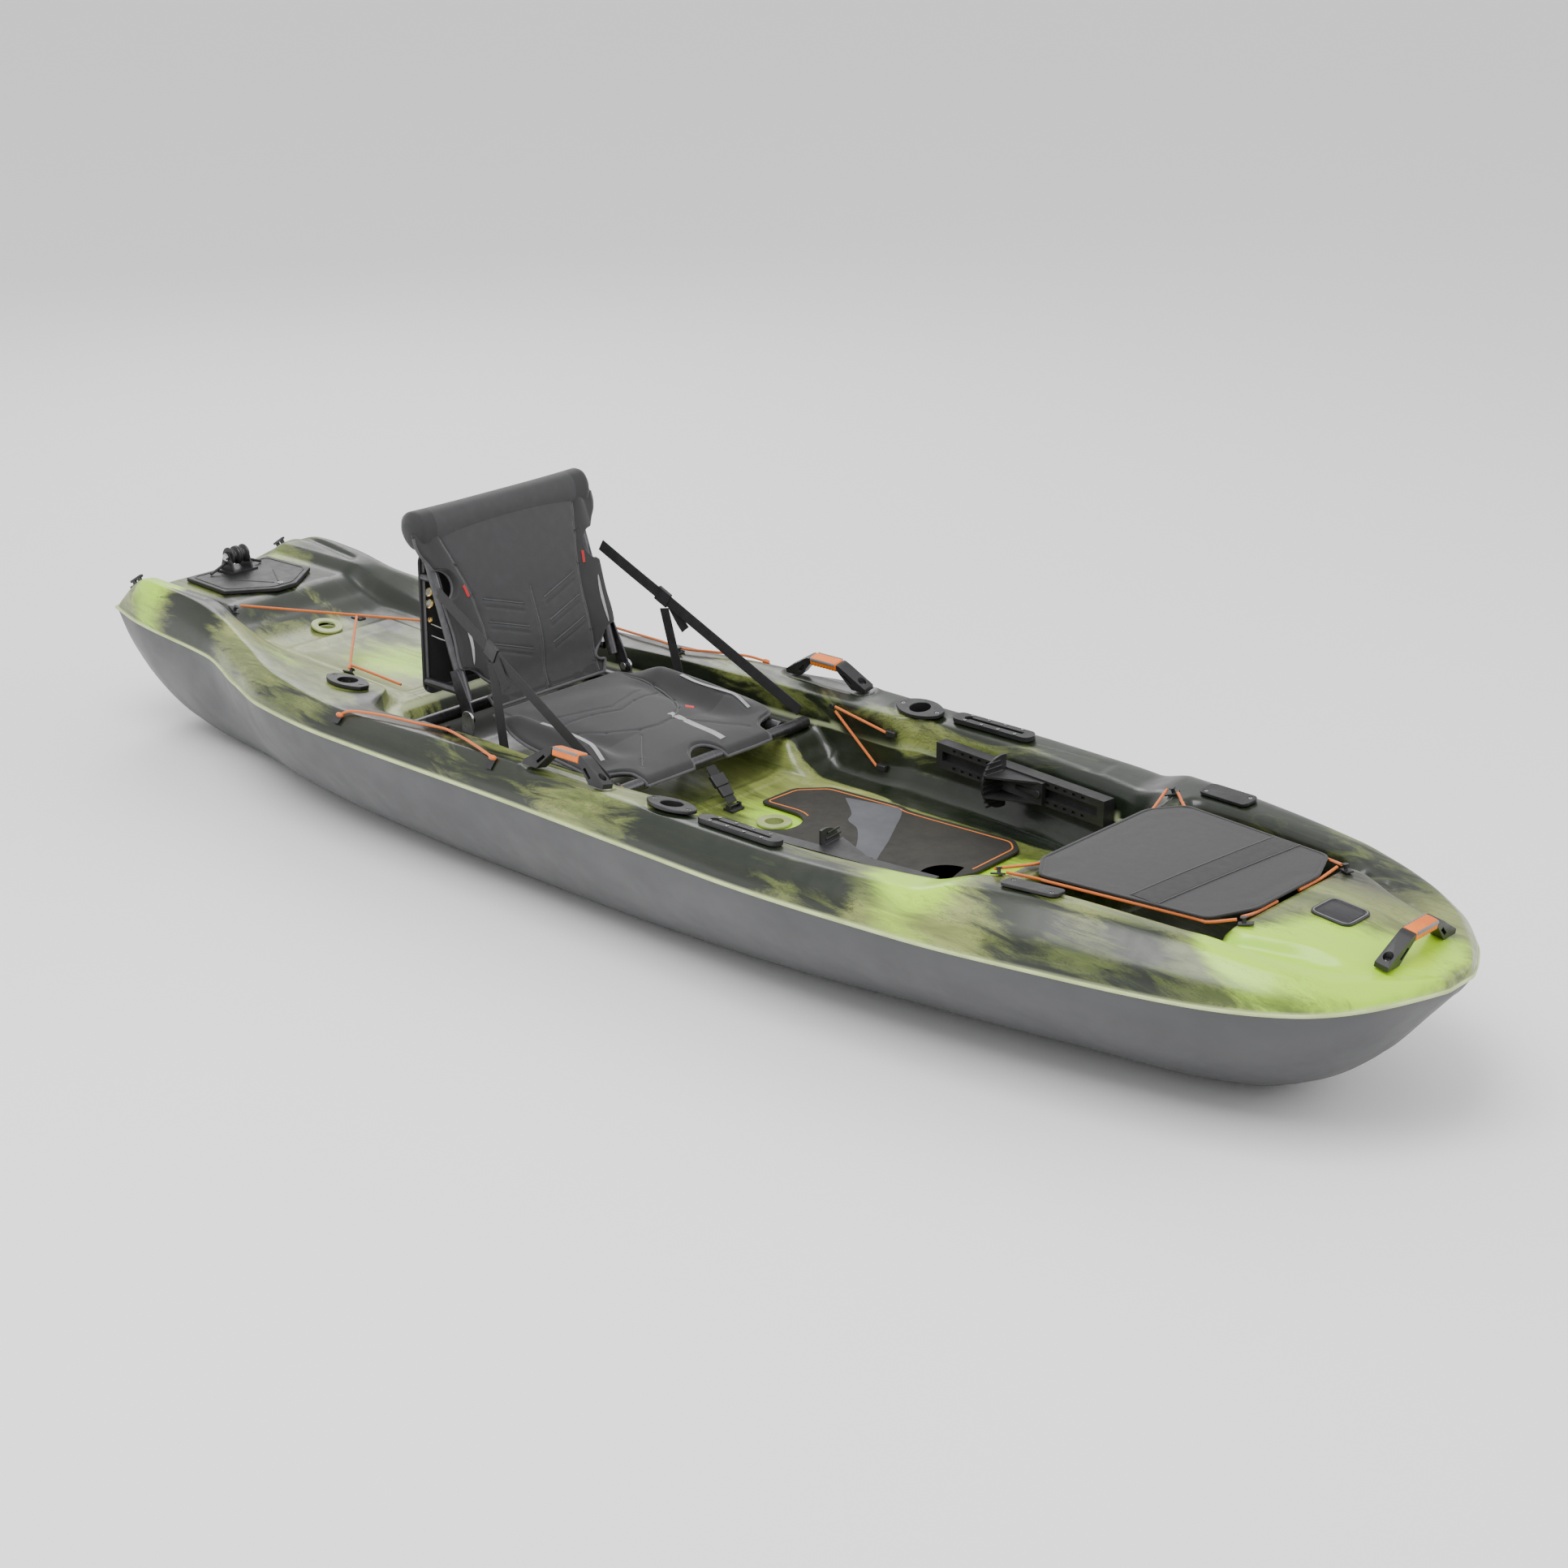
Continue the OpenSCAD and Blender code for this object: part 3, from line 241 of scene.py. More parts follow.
@dataclass(frozen=True)
class Moulded:
    """Plain moulded plastic or rubber: a mottled colour with a fine grain."""

    slot: str
    colour: Colour
    second: Colour
    rough: float = 0.45
    grain: float = 900.0
    depth: float = 0.00015
    coat: float = 0.0
    patch: float = 14.0

    def build(self, name: str) -> bpy.types.Material:
        """Colour: noise between two tones. Relief: fine noise. Gloss: patches of wear."""
        shader = Shader(name, self.rough)
        place = shader.place()
        tone = shader.noise(place, self.patch, 4.0, 0.6)
        shader.set("Base Color", shader.mix(self.colour, self.second, tone.between(0.35, 0.7)))
        fine = shader.noise(place, self.grain, 2.0, 0.6)
        wear = shader.noise(place, self.patch * 3.0, 3.0, 0.6)
        shader.set("Roughness", wear.between(0.2, 0.8, (self.rough - 0.07, self.rough + 0.1)))
        shader.set("Coat Weight", self.coat)
        shader.set("Coat Roughness", 0.2)
        shader.relief(fine, self.depth, 0.6)
        return shader.material


@dataclass(frozen=True)
class Marbled:
    """Deck plastic: smoky dark swirls and long streaks over lime, olive and cream."""

    slot: str = "deck_plastic"
    lime: Colour = (0.45, 0.78, 0.025)
    cream: Colour = (0.27, 0.31, 0.085)
    olive: Colour = (0.062, 0.088, 0.016)
    smoke: Colour = (0.072, 0.068, 0.047)
    dark: Colour = (0.004, 0.008, 0.004)

    def build(self, name: str) -> bpy.types.Material:
        """Streaks of noise stretched along the boat, bent by a slower noise.

        The vertex values push each region towards bright lime or dark swirls; the dark one also
        carries painted shade on the cockpit's inner walls.
        """
        shader = Shader(name, 0.34)
        place = shader.place()
        bend = shader.noise(place.vector("MULTIPLY", (1.3, 3.0, 3.0)), 1.0, 2.0, 0.5, colour=True)
        swirl = place.vector("ADD", bend.vector("MULTIPLY", (0.34, 0.26, 0.26)))
        clouds = shader.noise(swirl.vector("MULTIPLY", (1.7, 4.2, 4.2)), 1.0, 4.0, 0.55, 0.6)
        streaks = shader.noise(swirl.vector("MULTIPLY", (5.0, 34.0, 34.0)), 1.0, 5.0, 0.62, 0.9)
        veins = shader.noise(swirl.vector("MULTIPLY", (12.0, 60.0, 60.0)), 1.0, 4.0, 0.7, 1.6)
        lime = shader.attribute("lime")
        dark_swirl_and_shade = shader.attribute("dark_swirl_and_shade")
        warm = shader.attribute("warm")
        base = shader.mix(self.olive, self.cream,
                          (clouds * 0.55 + streaks * 0.45).between(0.36, 0.62))
        bright = (lime * 1.15 + clouds * 0.7 + streaks * 0.45 - 0.74).between(0.14, 0.50)
        base = shader.mix(base, self.lime, bright)
        base = shader.mix(base, self.smoke, (warm * 1.1 + streaks * 0.5 - 0.42).between(0.0, 0.6))
        # Dark-swirl mask; through the vertex value it also paints shade on the cockpit's inner
        # walls.
        shade = (dark_swirl_and_shade * 0.66 + (1.0 - clouds) * 0.85 + streaks * 0.85 - lime * 0.30)
        base = shader.mix(base, self.dark, shade.between(0.90, 1.13) * 0.97)
        vein = (veins - 0.5).size().between(0.0, 0.035, (1.0, 0.0))
        base = shader.mix(base, self.dark, vein * (shade.between(0.62, 1.05) * 0.6))
        edge = shader.attribute("edge")
        base = shader.mix(base, (0.62, 0.70, 0.40), edge.between(0.15, 1.0) * 0.5)
        shader.set("Base Color", base)
        wear = shader.noise(place, 30.0, 4.0, 0.6)
        shader.set("Roughness", wear.between(0.25, 0.75, (0.27, 0.42)))
        shader.set("Coat Weight", 0.25)
        shader.set("Coat Roughness", 0.15)
        ripple = shader.noise(place, 9.0, 2.0, 0.5) * 0.8 + shader.noise(place, 420.0, 2.0) * 0.12
        shader.relief(ripple, 0.0012, 0.5)
        return shader.material


@dataclass(frozen=True)
class Woven:
    """Cloth or webbing: crossed threads on the piece's own UV map."""

    slot: str
    colour: Colour
    second: Colour
    across: float = 0.0011
    along: float = 0.0011
    rough: float = 0.8
    depth: float = 0.0003
    sheen: float = 0.25

    def build(self, name: str) -> bpy.types.Material:
        """Height: the larger of two sine waves, one per thread direction, slightly noisy. Colour:
        lighter on the raised threads, painted shade in their gaps, with slub noise as the yarn's
        own tone.
        """
        shader = Shader(name, self.rough)
        flat = shader.along()
        warp = (flat.part("X") * (math.tau / self.across)).wave()
        weft = (flat.part("Y") * (math.tau / self.along)).wave()
        threads = warp.size().most(weft.size()) * 0.5 + warp * weft * 0.25
        slub = shader.noise(shader.place(), 60.0, 4.0, 0.65)
        # Painted shade: the thread relief darkens the gaps between threads; the slub term is the
        # yarn's own tone.
        tone = (threads * 0.35 + slub * 0.8).between(0.3, 1.0)
        shader.set("Base Color", shader.mix(self.colour, self.second, tone))
        shader.set("Roughness", slub.between(0.2, 0.8, (self.rough - 0.08, self.rough + 0.08)))
        shader.set("Sheen Weight", self.sheen)
        shader.set("Sheen Roughness", 0.45)
        shader.relief(threads + slub * 0.3, self.depth, 0.5)
        return shader.material


@dataclass(frozen=True)
class Braided:
    """Stretch cord: two families of strands wound opposite ways."""

    slot: str
    colour: Colour
    second: Colour
    rough: float = 0.55

    def build(self, name: str) -> bpy.types.Material:
        """Height: product of two diagonal sine waves of the UV map. The colour follows the height,
        darker in the sunken parts: painted shade between the strands.
        """
        shader = Shader(name, self.rough)
        flat = shader.along()
        turn = flat.part("X") * (math.tau * 4.0)
        run = flat.part("Y") * (math.tau / 0.0045)
        strands = (turn + run).wave() * (turn - run).wave()
        # Painted shade: the sunken parts of the braid take the darker colour.
        tone = strands.between(-0.7, 0.9)
        shader.set("Base Color", shader.mix(self.second, self.colour, tone))
        shader.set("Sheen Weight", 0.2)
        shader.relief(strands, 0.0003, 0.7)
        return shader.material


@dataclass(frozen=True)
class Metal:
    """Coated or bare metal tube, plate or pin."""

    slot: str
    colour: Colour
    second: Colour
    rough: float = 0.35
    metal: float = 1.0

    def build(self, name: str) -> bpy.types.Material:
        """Fine noise in gloss and colour, with light scuffs."""
        shader = Shader(name, self.rough, self.metal)
        place = shader.place()
        scuff = shader.noise(place.vector("MULTIPLY", (1.0, 6.0, 1.0)), 55.0, 4.0, 0.7)
        shader.set("Base Color", shader.mix(self.colour, self.second, scuff.between(0.45, 0.75)))
        shader.set("Roughness", scuff.between(0.2, 0.8, (self.rough - 0.08, self.rough + 0.14)))
        shader.relief(shader.noise(place, 1500.0, 2.0), 0.00006, 0.4)
        return shader.material


class Look(Enum):
    """Every finish of the boat."""

    DECK = Marbled()
    HULL = Moulded("hull_plastic", (0.05, 0.051, 0.054), (0.062, 0.063, 0.067), 0.45, 700.0,
                   0.0001, 0.1, 3.0)
    BEAD = Moulded("deck_plastic", (0.55, 0.66, 0.30), (0.42, 0.50, 0.20), 0.4, 700.0)
    SCUPPER = Moulded("deck_plastic", (0.38, 0.45, 0.17), (0.25, 0.31, 0.10), 0.4, 700.0)
    NYLON = Moulded("fitting_black", (0.012, 0.012, 0.013), (0.022, 0.022, 0.024), 0.42, 1400.0)
    FOAM = Moulded("foam", (0.8, 0.8, 0.78), (0.7, 0.7, 0.68), 0.8, 300.0, 0.0006)
    PAD = Moulded("pad_foam", (0.021, 0.019, 0.015), (0.03, 0.027, 0.021), 0.78, 1100.0, 0.0004)
    PAD_BAND = Moulded("pad_foam", (0.085, 0.088, 0.097), (0.10, 0.104, 0.114), 0.8, 1100.0,
                       0.0004)
    PAD_LINE = Moulded("pad_foam", (0.75, 0.20, 0.015), (0.65, 0.16, 0.01), 0.7, 900.0)
    GRIP = Moulded("grip_rubber", (0.80, 0.19, 0.012), (0.68, 0.14, 0.01), 0.5, 1200.0)
    GRIP_EDGE = Moulded("grip_rubber", (0.16, 0.16, 0.165), (0.2, 0.2, 0.2), 0.5, 1200.0)
    CORD = Braided("cord_orange", (0.90, 0.21, 0.012), (0.50, 0.09, 0.004))
    LACE = Braided("silver_cord", (0.55, 0.55, 0.54), (0.25, 0.25, 0.24), 0.4)
    SEAT = Woven("seat_cloth", (0.022, 0.022, 0.0235), (0.046, 0.046, 0.049))
    SEAT_SIDE = Woven("seat_cloth", (0.013, 0.013, 0.014), (0.027, 0.027, 0.029),
                      0.0016, 0.0016)
    BINDING = Woven("seat_cloth", (0.045, 0.045, 0.048), (0.085, 0.085, 0.09), 0.002, 0.0012, 0.7)
    # Painted highlight: pale strips on the seat cloth where the light catches it.
    PAINTED_HIGHLIGHT = Woven("seat_cloth", (0.28, 0.28, 0.29), (0.42, 0.42, 0.43), 0.0009, 0.0009, 0.35,
                   0.0001, 0.0)
    TAG = Woven("seat_cloth", (0.55, 0.012, 0.015), (0.7, 0.03, 0.03), 0.0008, 0.0008)
    PANEL = Woven("panel_cloth", (0.005, 0.005, 0.0055), (0.014, 0.014, 0.015), 0.0014, 0.0014)
    WEBBING = Woven("webbing", (0.006, 0.006, 0.007), (0.02, 0.02, 0.022), 0.0022, 0.0016, 0.65,
                    0.0004, 0.1)
    COVER = Woven("cover_cloth", (0.014, 0.014, 0.0155), (0.028, 0.028, 0.0305), 0.0013, 0.0013,
                  0.6, 0.00025, 0.15)
    COVER_BAND = Woven("cover_cloth", (0.004, 0.004, 0.0045), (0.011, 0.011, 0.012), 0.0013,
                       0.0013, 0.5, 0.0002, 0.1)
    COVER_TRIM = Woven("cover_cloth", (0.005, 0.005, 0.006), (0.016, 0.016, 0.018), 0.0018, 0.001)
    TUBE = Metal("tube_metal", (0.085, 0.085, 0.09), (0.13, 0.13, 0.135), 0.33, 0.85)
    PLATE = Metal("bracket_metal", (0.05, 0.05, 0.055), (0.09, 0.09, 0.095), 0.36, 0.8)
    STEEL = Metal("bare_steel", (0.52, 0.52, 0.53), (0.38, 0.38, 0.39), 0.28)
    BRASS = Metal("bare_steel", (0.62, 0.42, 0.14), (0.45, 0.3, 0.1), 0.3)
    RED_TRIM = Woven("seat_cloth", (0.35, 0.008, 0.01), (0.5, 0.02, 0.02), 0.0012, 0.0012)


class Wardrobe:
    """Makes each finish once and puts it on pieces."""

    def __init__(self) -> None:
        """Starts with no materials."""
        self.made: dict[Look, bpy.types.Material] = {}

    def material(self, look: Look) -> bpy.types.Material:
        """The material of a finish."""
        if look not in self.made:
            self.made[look] = look.value.build(f"{look.name.lower()}_finish")
        return self.made[look]

    def dress(self, piece: bpy.types.Object, look: Look, body: str, *stands_for: str) -> None:
        """Gives a piece its finish, its body and the CAD nodes that it stands for."""
        piece.data.materials.clear()
        piece.data.materials.append(self.material(look))
        if body:
            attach(piece, body)
        if stands_for:
            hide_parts(*stands_for)
        LOG.info("%s: %d faces, %s", piece.name, len(piece.data.polygons), look.name.lower())


    def second(self, piece: bpy.types.Object, look: Look, where: Array) -> None:
        """Gives the faces of a piece where a mask holds a second finish."""
        piece.data.materials.append(self.material(look))
        piece.data.polygons.foreach_set("material_index", where.astype(np.int32))


# ---------------------------------------------------------------- surfaces


def linked(name: str, data: bpy.types.ID) -> bpy.types.Object:
    """A new object of a mesh, light or camera, linked to the scene."""
    thing = bpy.data.objects.new(name, data)
    bpy.context.scene.collection.objects.link(thing)
    return thing


def face_centres(piece: bpy.types.Object) -> Array:
    """Middle of each face of a piece, in mm."""
    centre = np.empty(len(piece.data.polygons) * 3)
    piece.data.polygons.foreach_get("center", centre)
    return centre.reshape(-1, 3) / MM


def unit(v: Array) -> Array:
    """Vectors drawn out or in to length 1."""
    return v / np.linalg.norm(v, axis=-1, keepdims=True)


def distances(path: Array) -> Array:
    """Distance along a path at each of its points."""
    return np.concatenate([[0], np.cumsum(np.linalg.norm(np.diff(path, axis=0), axis=1))])


def hermite(points: Sequence[Sequence[float]], x: Array) -> Array:
    """Smooth curve through points that never swings past them.

    Cubic Hermite pieces; each inner slope is the harmonic mean of its neighbours', or 0.
    """
    p = np.asarray(points, float)
    px, py = p[:, 0], p[:, 1]
    s = np.diff(py) / np.diff(px)
    a, b = s[:-1], s[1:]
    m = np.concatenate([s[:1], np.where(a * b > 0, 2 * a * b / np.where(a * b > 0, a + b, 1), 0),
                        s[-1:]])
    i = np.clip(np.searchsorted(px, x, side="right") - 1, 0, len(px) - 2)
    h = px[i + 1] - px[i]
    t = np.clip((x - px[i]) / h, 0, 1)
    return ((2 * t**3 - 3 * t**2 + 1) * py[i] + (t**3 - 2 * t**2 + t) * h * m[i]
            + (3 * t**2 - 2 * t**3) * py[i + 1] + (t**3 - t**2) * h * m[i + 1])


def smooth(x: Array | float, low: float, high: float) -> Array:
    """0 below low, 1 above high, and a cubic step between."""
    t = np.clip((np.asarray(x, float) - low) / (high - low), 0, 1)
    return t * t * (3 - 2 * t)


def bump(x: Array, width: float) -> Array:
    """A bell: 1 at 0, falling as exp of minus the square of x over width."""
    return np.exp(-np.square(x / width))


def spline(points: Sequence[Sequence[float]], parts: int = 10) -> Array:
    """Path through points by Catmull-Rom pieces, each cut into parts."""
    p = np.asarray(points, float)
    q = np.vstack([2 * p[0] - p[1], p, 2 * p[-1] - p[-2]])
    t = np.linspace(0, 1, parts, endpoint=False)[None, :, None]
    a, b, c, d = (q[k:len(q) - 3 + k][:, None] for k in range(4))
    out = 0.5 * (2 * b + (c - a) * t + (2 * a - 5 * b + 4 * c - d) * t**2
                 + (3 * b - a - 3 * c + d) * t**3)
    return np.vstack([out.reshape(-1, p.shape[1]), p[-1:]])


def even(path: Array, count: int) -> Array:
    """The same path at count points evenly spaced along it."""
    run = distances(path)
    at = np.linspace(0, run[-1], count)
    return np.stack([np.interp(at, run, path[:, k]) for k in range(path.shape[1])], 1)


def segment_distance(x: Array, y: Array, a: Sequence[float], b: Sequence[float]) -> Array:
    """Distance in plan from points to the segment from a to b."""
    ax, ay, bx, by = *a, *b
    t = np.clip(((x - ax) * (bx - ax) + (y - ay) * (by - ay))
                / ((bx - ax)**2 + (by - ay)**2), 0, 1)
    return np.hypot(x - ax - t * (bx - ax), y - ay - t * (by - ay))


def outline_distance(x: Array, y: Array, outline: Array) -> Array:
    """Signed distance in plan to a closed outline, negative inside."""
    nearest = np.full(np.shape(x), 1e9)
    inside = np.zeros(np.shape(x), bool)
    for a, b in zip(outline, np.roll(outline, -1, 0)):
        nearest = np.minimum(nearest, segment_distance(x, y, a, b))
        if a[1] != b[1]:
            crosses = ((a[1] > y) != (b[1] > y)) & (x < (b[0] - a[0]) * (y - a[1])
                                                    / (b[1] - a[1]) + a[0])
            inside ^= crosses
    return np.where(inside, -nearest, nearest)


@dataclass
class Skin:
    """Points and faces of a piece, gathered from grids, and the UV of each point."""

    points: list[Array] = field(default_factory=list)
    uvs: list[Array] = field(default_factory=list)
    faces: list[Array] = field(default_factory=list)
    total: int = 0

    def add(self, points: Array, uv: Array) -> int:
        """Adds loose points and returns the number of the first."""
        first = self.total
        self.points.append(points.reshape(-1, 3))
        self.uvs.append(uv.reshape(-1, 2))
        self.total += len(self.points[-1])
        return first

    def grid(self, g: Array, uv: Array | None = None, wrap: bool = False,
             flip: bool = False, keep: Array | None = None) -> int:
        """Adds a grid of points joined by four-sided faces.

        Args:
            g: points, rows by columns by 3.
            uv: the same by 2; by default the distance down the rows and across the columns.
            wrap: joins the last column to the first.
            flip: turns the faces over.
            keep: which faces to keep, rows by columns.

        Returns:
            The number of the first point.
        """
        n, m = g.shape[:2]
        if uv is None:
            down = np.linalg.norm(np.diff(g, axis=0), axis=2).mean(1)
            over = np.linalg.norm(np.diff(g, axis=1), axis=2).mean(0)
            uv = np.stack(np.meshgrid(np.concatenate([[0], np.cumsum(over)]),
                                      np.concatenate([[0], np.cumsum(down)])), 2)
        first = self.add(g, uv)
        ids = first + np.arange(n * m).reshape(n, m)
        if wrap:
            ids = np.hstack([ids, ids[:, :1]])
        quads = np.stack([ids[:-1, :-1], ids[1:, :-1], ids[1:, 1:], ids[:-1, 1:]], 2)
        quads = quads[keep] if keep is not None else quads.reshape(-1, 4)
        self.faces.append(quads[:, ::-1] if flip else quads)
        return first

    def fan(self, ring: Array, flip: bool = False) -> None:
        """Closes a ring of points with triangles to its middle."""
        first = self.add(np.vstack([ring, ring.mean(0)]), np.zeros((len(ring) + 1, 2)))
        a = first + np.arange(len(ring))
        tri = np.stack([a, np.roll(a, -1), np.full(len(ring), first + len(ring))], 1)
        self.faces.append(tri[:, ::-1] if flip else tri)

    def piece(self, name: str, weld: float = 1e-6, values: dict[str, Array] | None = None,
              sharp: float | None = None) -> bpy.types.Object:
        """Makes the object, with its doubles merged and its normals pointing out.

        Args:
            name: name of the object.
            weld: distance at which points are merged; 0 leaves them.
            values: numbers to keep at each vertex.
            sharp: angle in degrees over which an edge is shaded sharp.

        Returns:
            The new object.
        """
        mesh = bpy.data.meshes.new(name)
        points, uvs = np.vstack(self.points), np.vstack(self.uvs)
        sizes = np.concatenate([np.full(len(f), f.shape[1]) for f in self.faces])
        loops = np.concatenate([f.ravel() for f in self.faces])
        mesh.vertices.add(len(points))
        mesh.vertices.foreach_set("co", points.ravel())
        mesh.loops.add(len(loops))
        mesh.loops.foreach_set("vertex_index", loops)
        mesh.polygons.add(len(sizes))
        starts = np.concatenate([[0], np.cumsum(sizes)[:-1]])
        mesh.polygons.foreach_set("loop_start", starts)
        mesh.update(calc_edges=True)
        mesh.uv_layers.new(name="UVMap").data.foreach_set("uv", uvs[loops].ravel())
        for key, numbers in (values or {}).items():
            mesh.attributes.new(key, "FLOAT", "POINT").data.foreach_set(
                "value", np.asarray(numbers, np.float32).ravel())
        mesh.validate()
        if weld:
            work = bmesh.new()
            work.from_mesh(mesh)
            bmesh.ops.remove_doubles(work, verts=work.verts, dist=weld)
            bmesh.ops.recalc_face_normals(work, faces=work.faces)
            work.to_mesh(mesh)
            work.free()
        mesh.shade_smooth()
        if sharp is not None:
            mesh.set_sharp_from_angle(angle=math.radians(sharp))
        return linked(name, mesh)


def frames(path: Array, side: Array | None, closed: bool = False) -> tuple[Array, Array]:
    """Side and normal directions at each point of a path.

    The side is the given direction made square to the path. With none given it is square to
    the path and to the upright, or to X where the path is upright.
    """
    step = np.roll(path, -1, 0) - np.roll(path, 1, 0) if closed else np.gradient(path, axis=0)
    run = unit(step)
    if side is None:
        steep = np.abs(run[:, 2:3]) > 0.97
        side = np.where(steep, np.cross(run, [1.0, 0, 0]), np.cross(run, [0, 0, 1.0]))
    side = np.broadcast_to(side, run.shape)
    side = unit(side - run * (side * run).sum(1, keepdims=True))
    return side, np.cross(run, side)


def sweep(skin: Skin, path: Array, profile: Array, side: Array | None = None,
          scale: Array | None = None, closed: bool = False) -> None:
    """Carries a closed profile along a path and caps its ends.

    Args:
        skin: what the faces are added to.
        path: points along the way.
        profile: points of the section, as distances along the side and the normal.
        side: direction of the section's first axis.
        scale: factor on the section at each point.
        closed: joins the end of the path to its start.
    """
    s, n = frames(path, side, closed)
    grow = np.ones(len(path)) if scale is None else scale
    rings = (path[:, None] + (s[:, None] * profile[None, :, :1]
                              + n[:, None] * profile[None, :, 1:]) * grow[:, None, None])
    run = distances(path)
    if closed:
        rings = np.concatenate([rings, rings[:1]])
        run = np.append(run, run[-1] + np.linalg.norm(path[0] - path[-1]))
    around = distances(profile)
    if len(profile) > 7 and abs(np.ptp(profile[:, 0]) - np.ptp(profile[:, 1])) < 1e-6:
        around = np.linspace(0, 1, len(profile), endpoint=False)
    uv = np.stack(np.meshgrid(around, run), 2)
    skin.grid(rings, uv, wrap=True)
    if not closed:
        skin.fan(rings[0])
        skin.fan(rings[-1], flip=True)


def circle(radius: float, count: int = 12) -> Array:
    """A round section."""
    a = np.linspace(0, math.tau, count, endpoint=False)
    return radius * np.stack([np.cos(a), np.sin(a)], 1)


def lozenge(width: float, height: float, power: float = 4.0, count: int = 16) -> Array:
    """A rounded rectangle: a superellipse of the given power."""
    a = np.linspace(0, math.tau, count, endpoint=False)
    c, s = np.cos(a), np.sin(a)
    return np.stack([np.sign(c) * np.abs(c)**(2 / power) * width / 2,
                     np.sign(s) * np.abs(s)**(2 / power) * height / 2], 1)


def mirrored(*paths: Array) -> list[Array]:
    """Each path, and the same path on the other side of the boat."""
    return [p for path in paths for p in (path, path * MIRROR)]


def rounded_outline(corners: Sequence[Sequence[float]], radius: float, steps: int = 6) -> Array:
    """A closed outline with each corner replaced by a short curve.

    Each corner is a quadratic curve that starts and ends radius, or less than half the shorter
    side, from it.
    """
    c = np.asarray(corners, float)
    before, after = np.roll(c, 1, 0) - c, np.roll(c, -1, 0) - c
    lb, la = (np.linalg.norm(v, axis=1, keepdims=True) for v in (before, after))
    cut = np.minimum(radius, 0.45 * np.minimum(lb, la))
    a, b = c + before / lb * cut, c + after / la * cut
    t = np.linspace(0, 1, steps)[None, :, None]
    out = (1 - t)**2 * a[:, None] + 2 * t * (1 - t) * c[:, None] + t**2 * b[:, None]
    return out.reshape(-1, 2)


def outline_inset(outline: Array, distance: float) -> Array:
    """Moves each point of a closed outline inwards, square to it."""
    step = np.roll(outline, -1, 0) - np.roll(outline, 1, 0)
    step = step / np.maximum(np.linalg.norm(step, axis=1, keepdims=True), 1e-9)
    area = 0.5 * np.sum(outline[:, 0] * np.roll(outline[:, 1], -1)
                        - np.roll(outline[:, 0], -1) * outline[:, 1])
    inward = np.stack([-step[:, 1], step[:, 0]], 1) * np.sign(area)
    return outline + inward * distance


def slab(skin: Skin, outline: Array, low: float, high: float, edge: float) -> None:
    """A flat plate with rounded edges.

    Rings of the outline climb the side and turn in over a quarter circle of radius edge; the
    top and the bottom are filled.
    """
    turn = np.radians([0, 30, 60, 90])
    levels = ([(edge * (1 - math.cos(a)), low + edge * (1 - math.sin(a))) for a in turn[::-1]]
              + [(edge * (1 - math.cos(a)), high - edge * (1 - math.sin(a))) for a in turn])
    rings = np.stack([np.column_stack([outline_inset(outline, d), np.full(len(outline), z)])
                      for d, z in levels])
    first = skin.grid(rings, rings[..., :2], wrap=True)
    n = len(outline)
    skin.faces.append((first + np.arange(n))[None, :])
    skin.faces.append((first + (len(levels) - 1) * n + np.arange(n))[None, ::-1])


def refined(node: str, name: str, bevel: float, segments: int = 2) -> bpy.types.Object:
    """A welded copy of a CAD node with its sharp edges rounded.

    Args:
        node: the CAD node.
        name: name of the copy.
        bevel: width of the rounding in metres, on edges that turn more than SHARP.
        segments: number of faces across the rounding.

    Returns:
        The copy.
    """
    source = FRAME["nodes"][node]
    mesh = source.data.copy()
    mesh.name = name
    work = bmesh.new()
    work.from_mesh(mesh)
    bmesh.ops.remove_doubles(work, verts=work.verts, dist=2e-5)
    bmesh.ops.dissolve_limit(work, angle_limit=math.radians(1.0), verts=work.verts,
                             edges=work.edges)
    work.to_mesh(mesh)
    work.free()
    mesh.shade_smooth()
    mesh.set_sharp_from_angle(angle=SHARP)
    piece = linked(name, mesh)
    rounding = piece.modifiers.new("rounding", "BEVEL")
    rounding.width, rounding.segments = bevel, segments
    rounding.limit_method, rounding.angle_limit = "ANGLE", SHARP
    return piece


FRAME: dict = {}
DRESS = Wardrobe()


def wear(skin: Skin, name: str, look: Look, body: str = BOAT, sharp: float = 60) -> None:
    """Makes a detail piece of a skin, in its finish and on its body."""
    DRESS.dress(skin.piece(name, sharp=sharp), look, body)


@dataclass(frozen=True)
class Placement:
    """A fitting's own frame: its origin in mm and its three directions."""

    origin: Point
    x: Point
    y: Point
    z: Point

    def turn(self, v: Array) -> Array:
        """A direction in this frame, as a direction on the boat."""
        return np.asarray(v, float) @ np.array([self.x, self.y, self.z])

    def out(self, p: Array) -> Array:
        """Points in this frame, in metres, as points on the boat."""
        return np.asarray(self.origin) * MM + self.turn(p)

    def shifted(self, x: float, y: float, z: float) -> "Placement":
        """The same frame with its origin moved along its own directions, in mm."""
        return Placement(tuple(np.asarray(self.origin) + self.turn(np.array([x, y, z]))),
                         self.x, self.y, self.z)

    def mirror(self) -> "Placement":
        """The frame on the other side of the boat, left-handed."""
        return Placement(*((v[0], -v[1], v[2]) for v in (self.origin, self.x, self.y, self.z)))


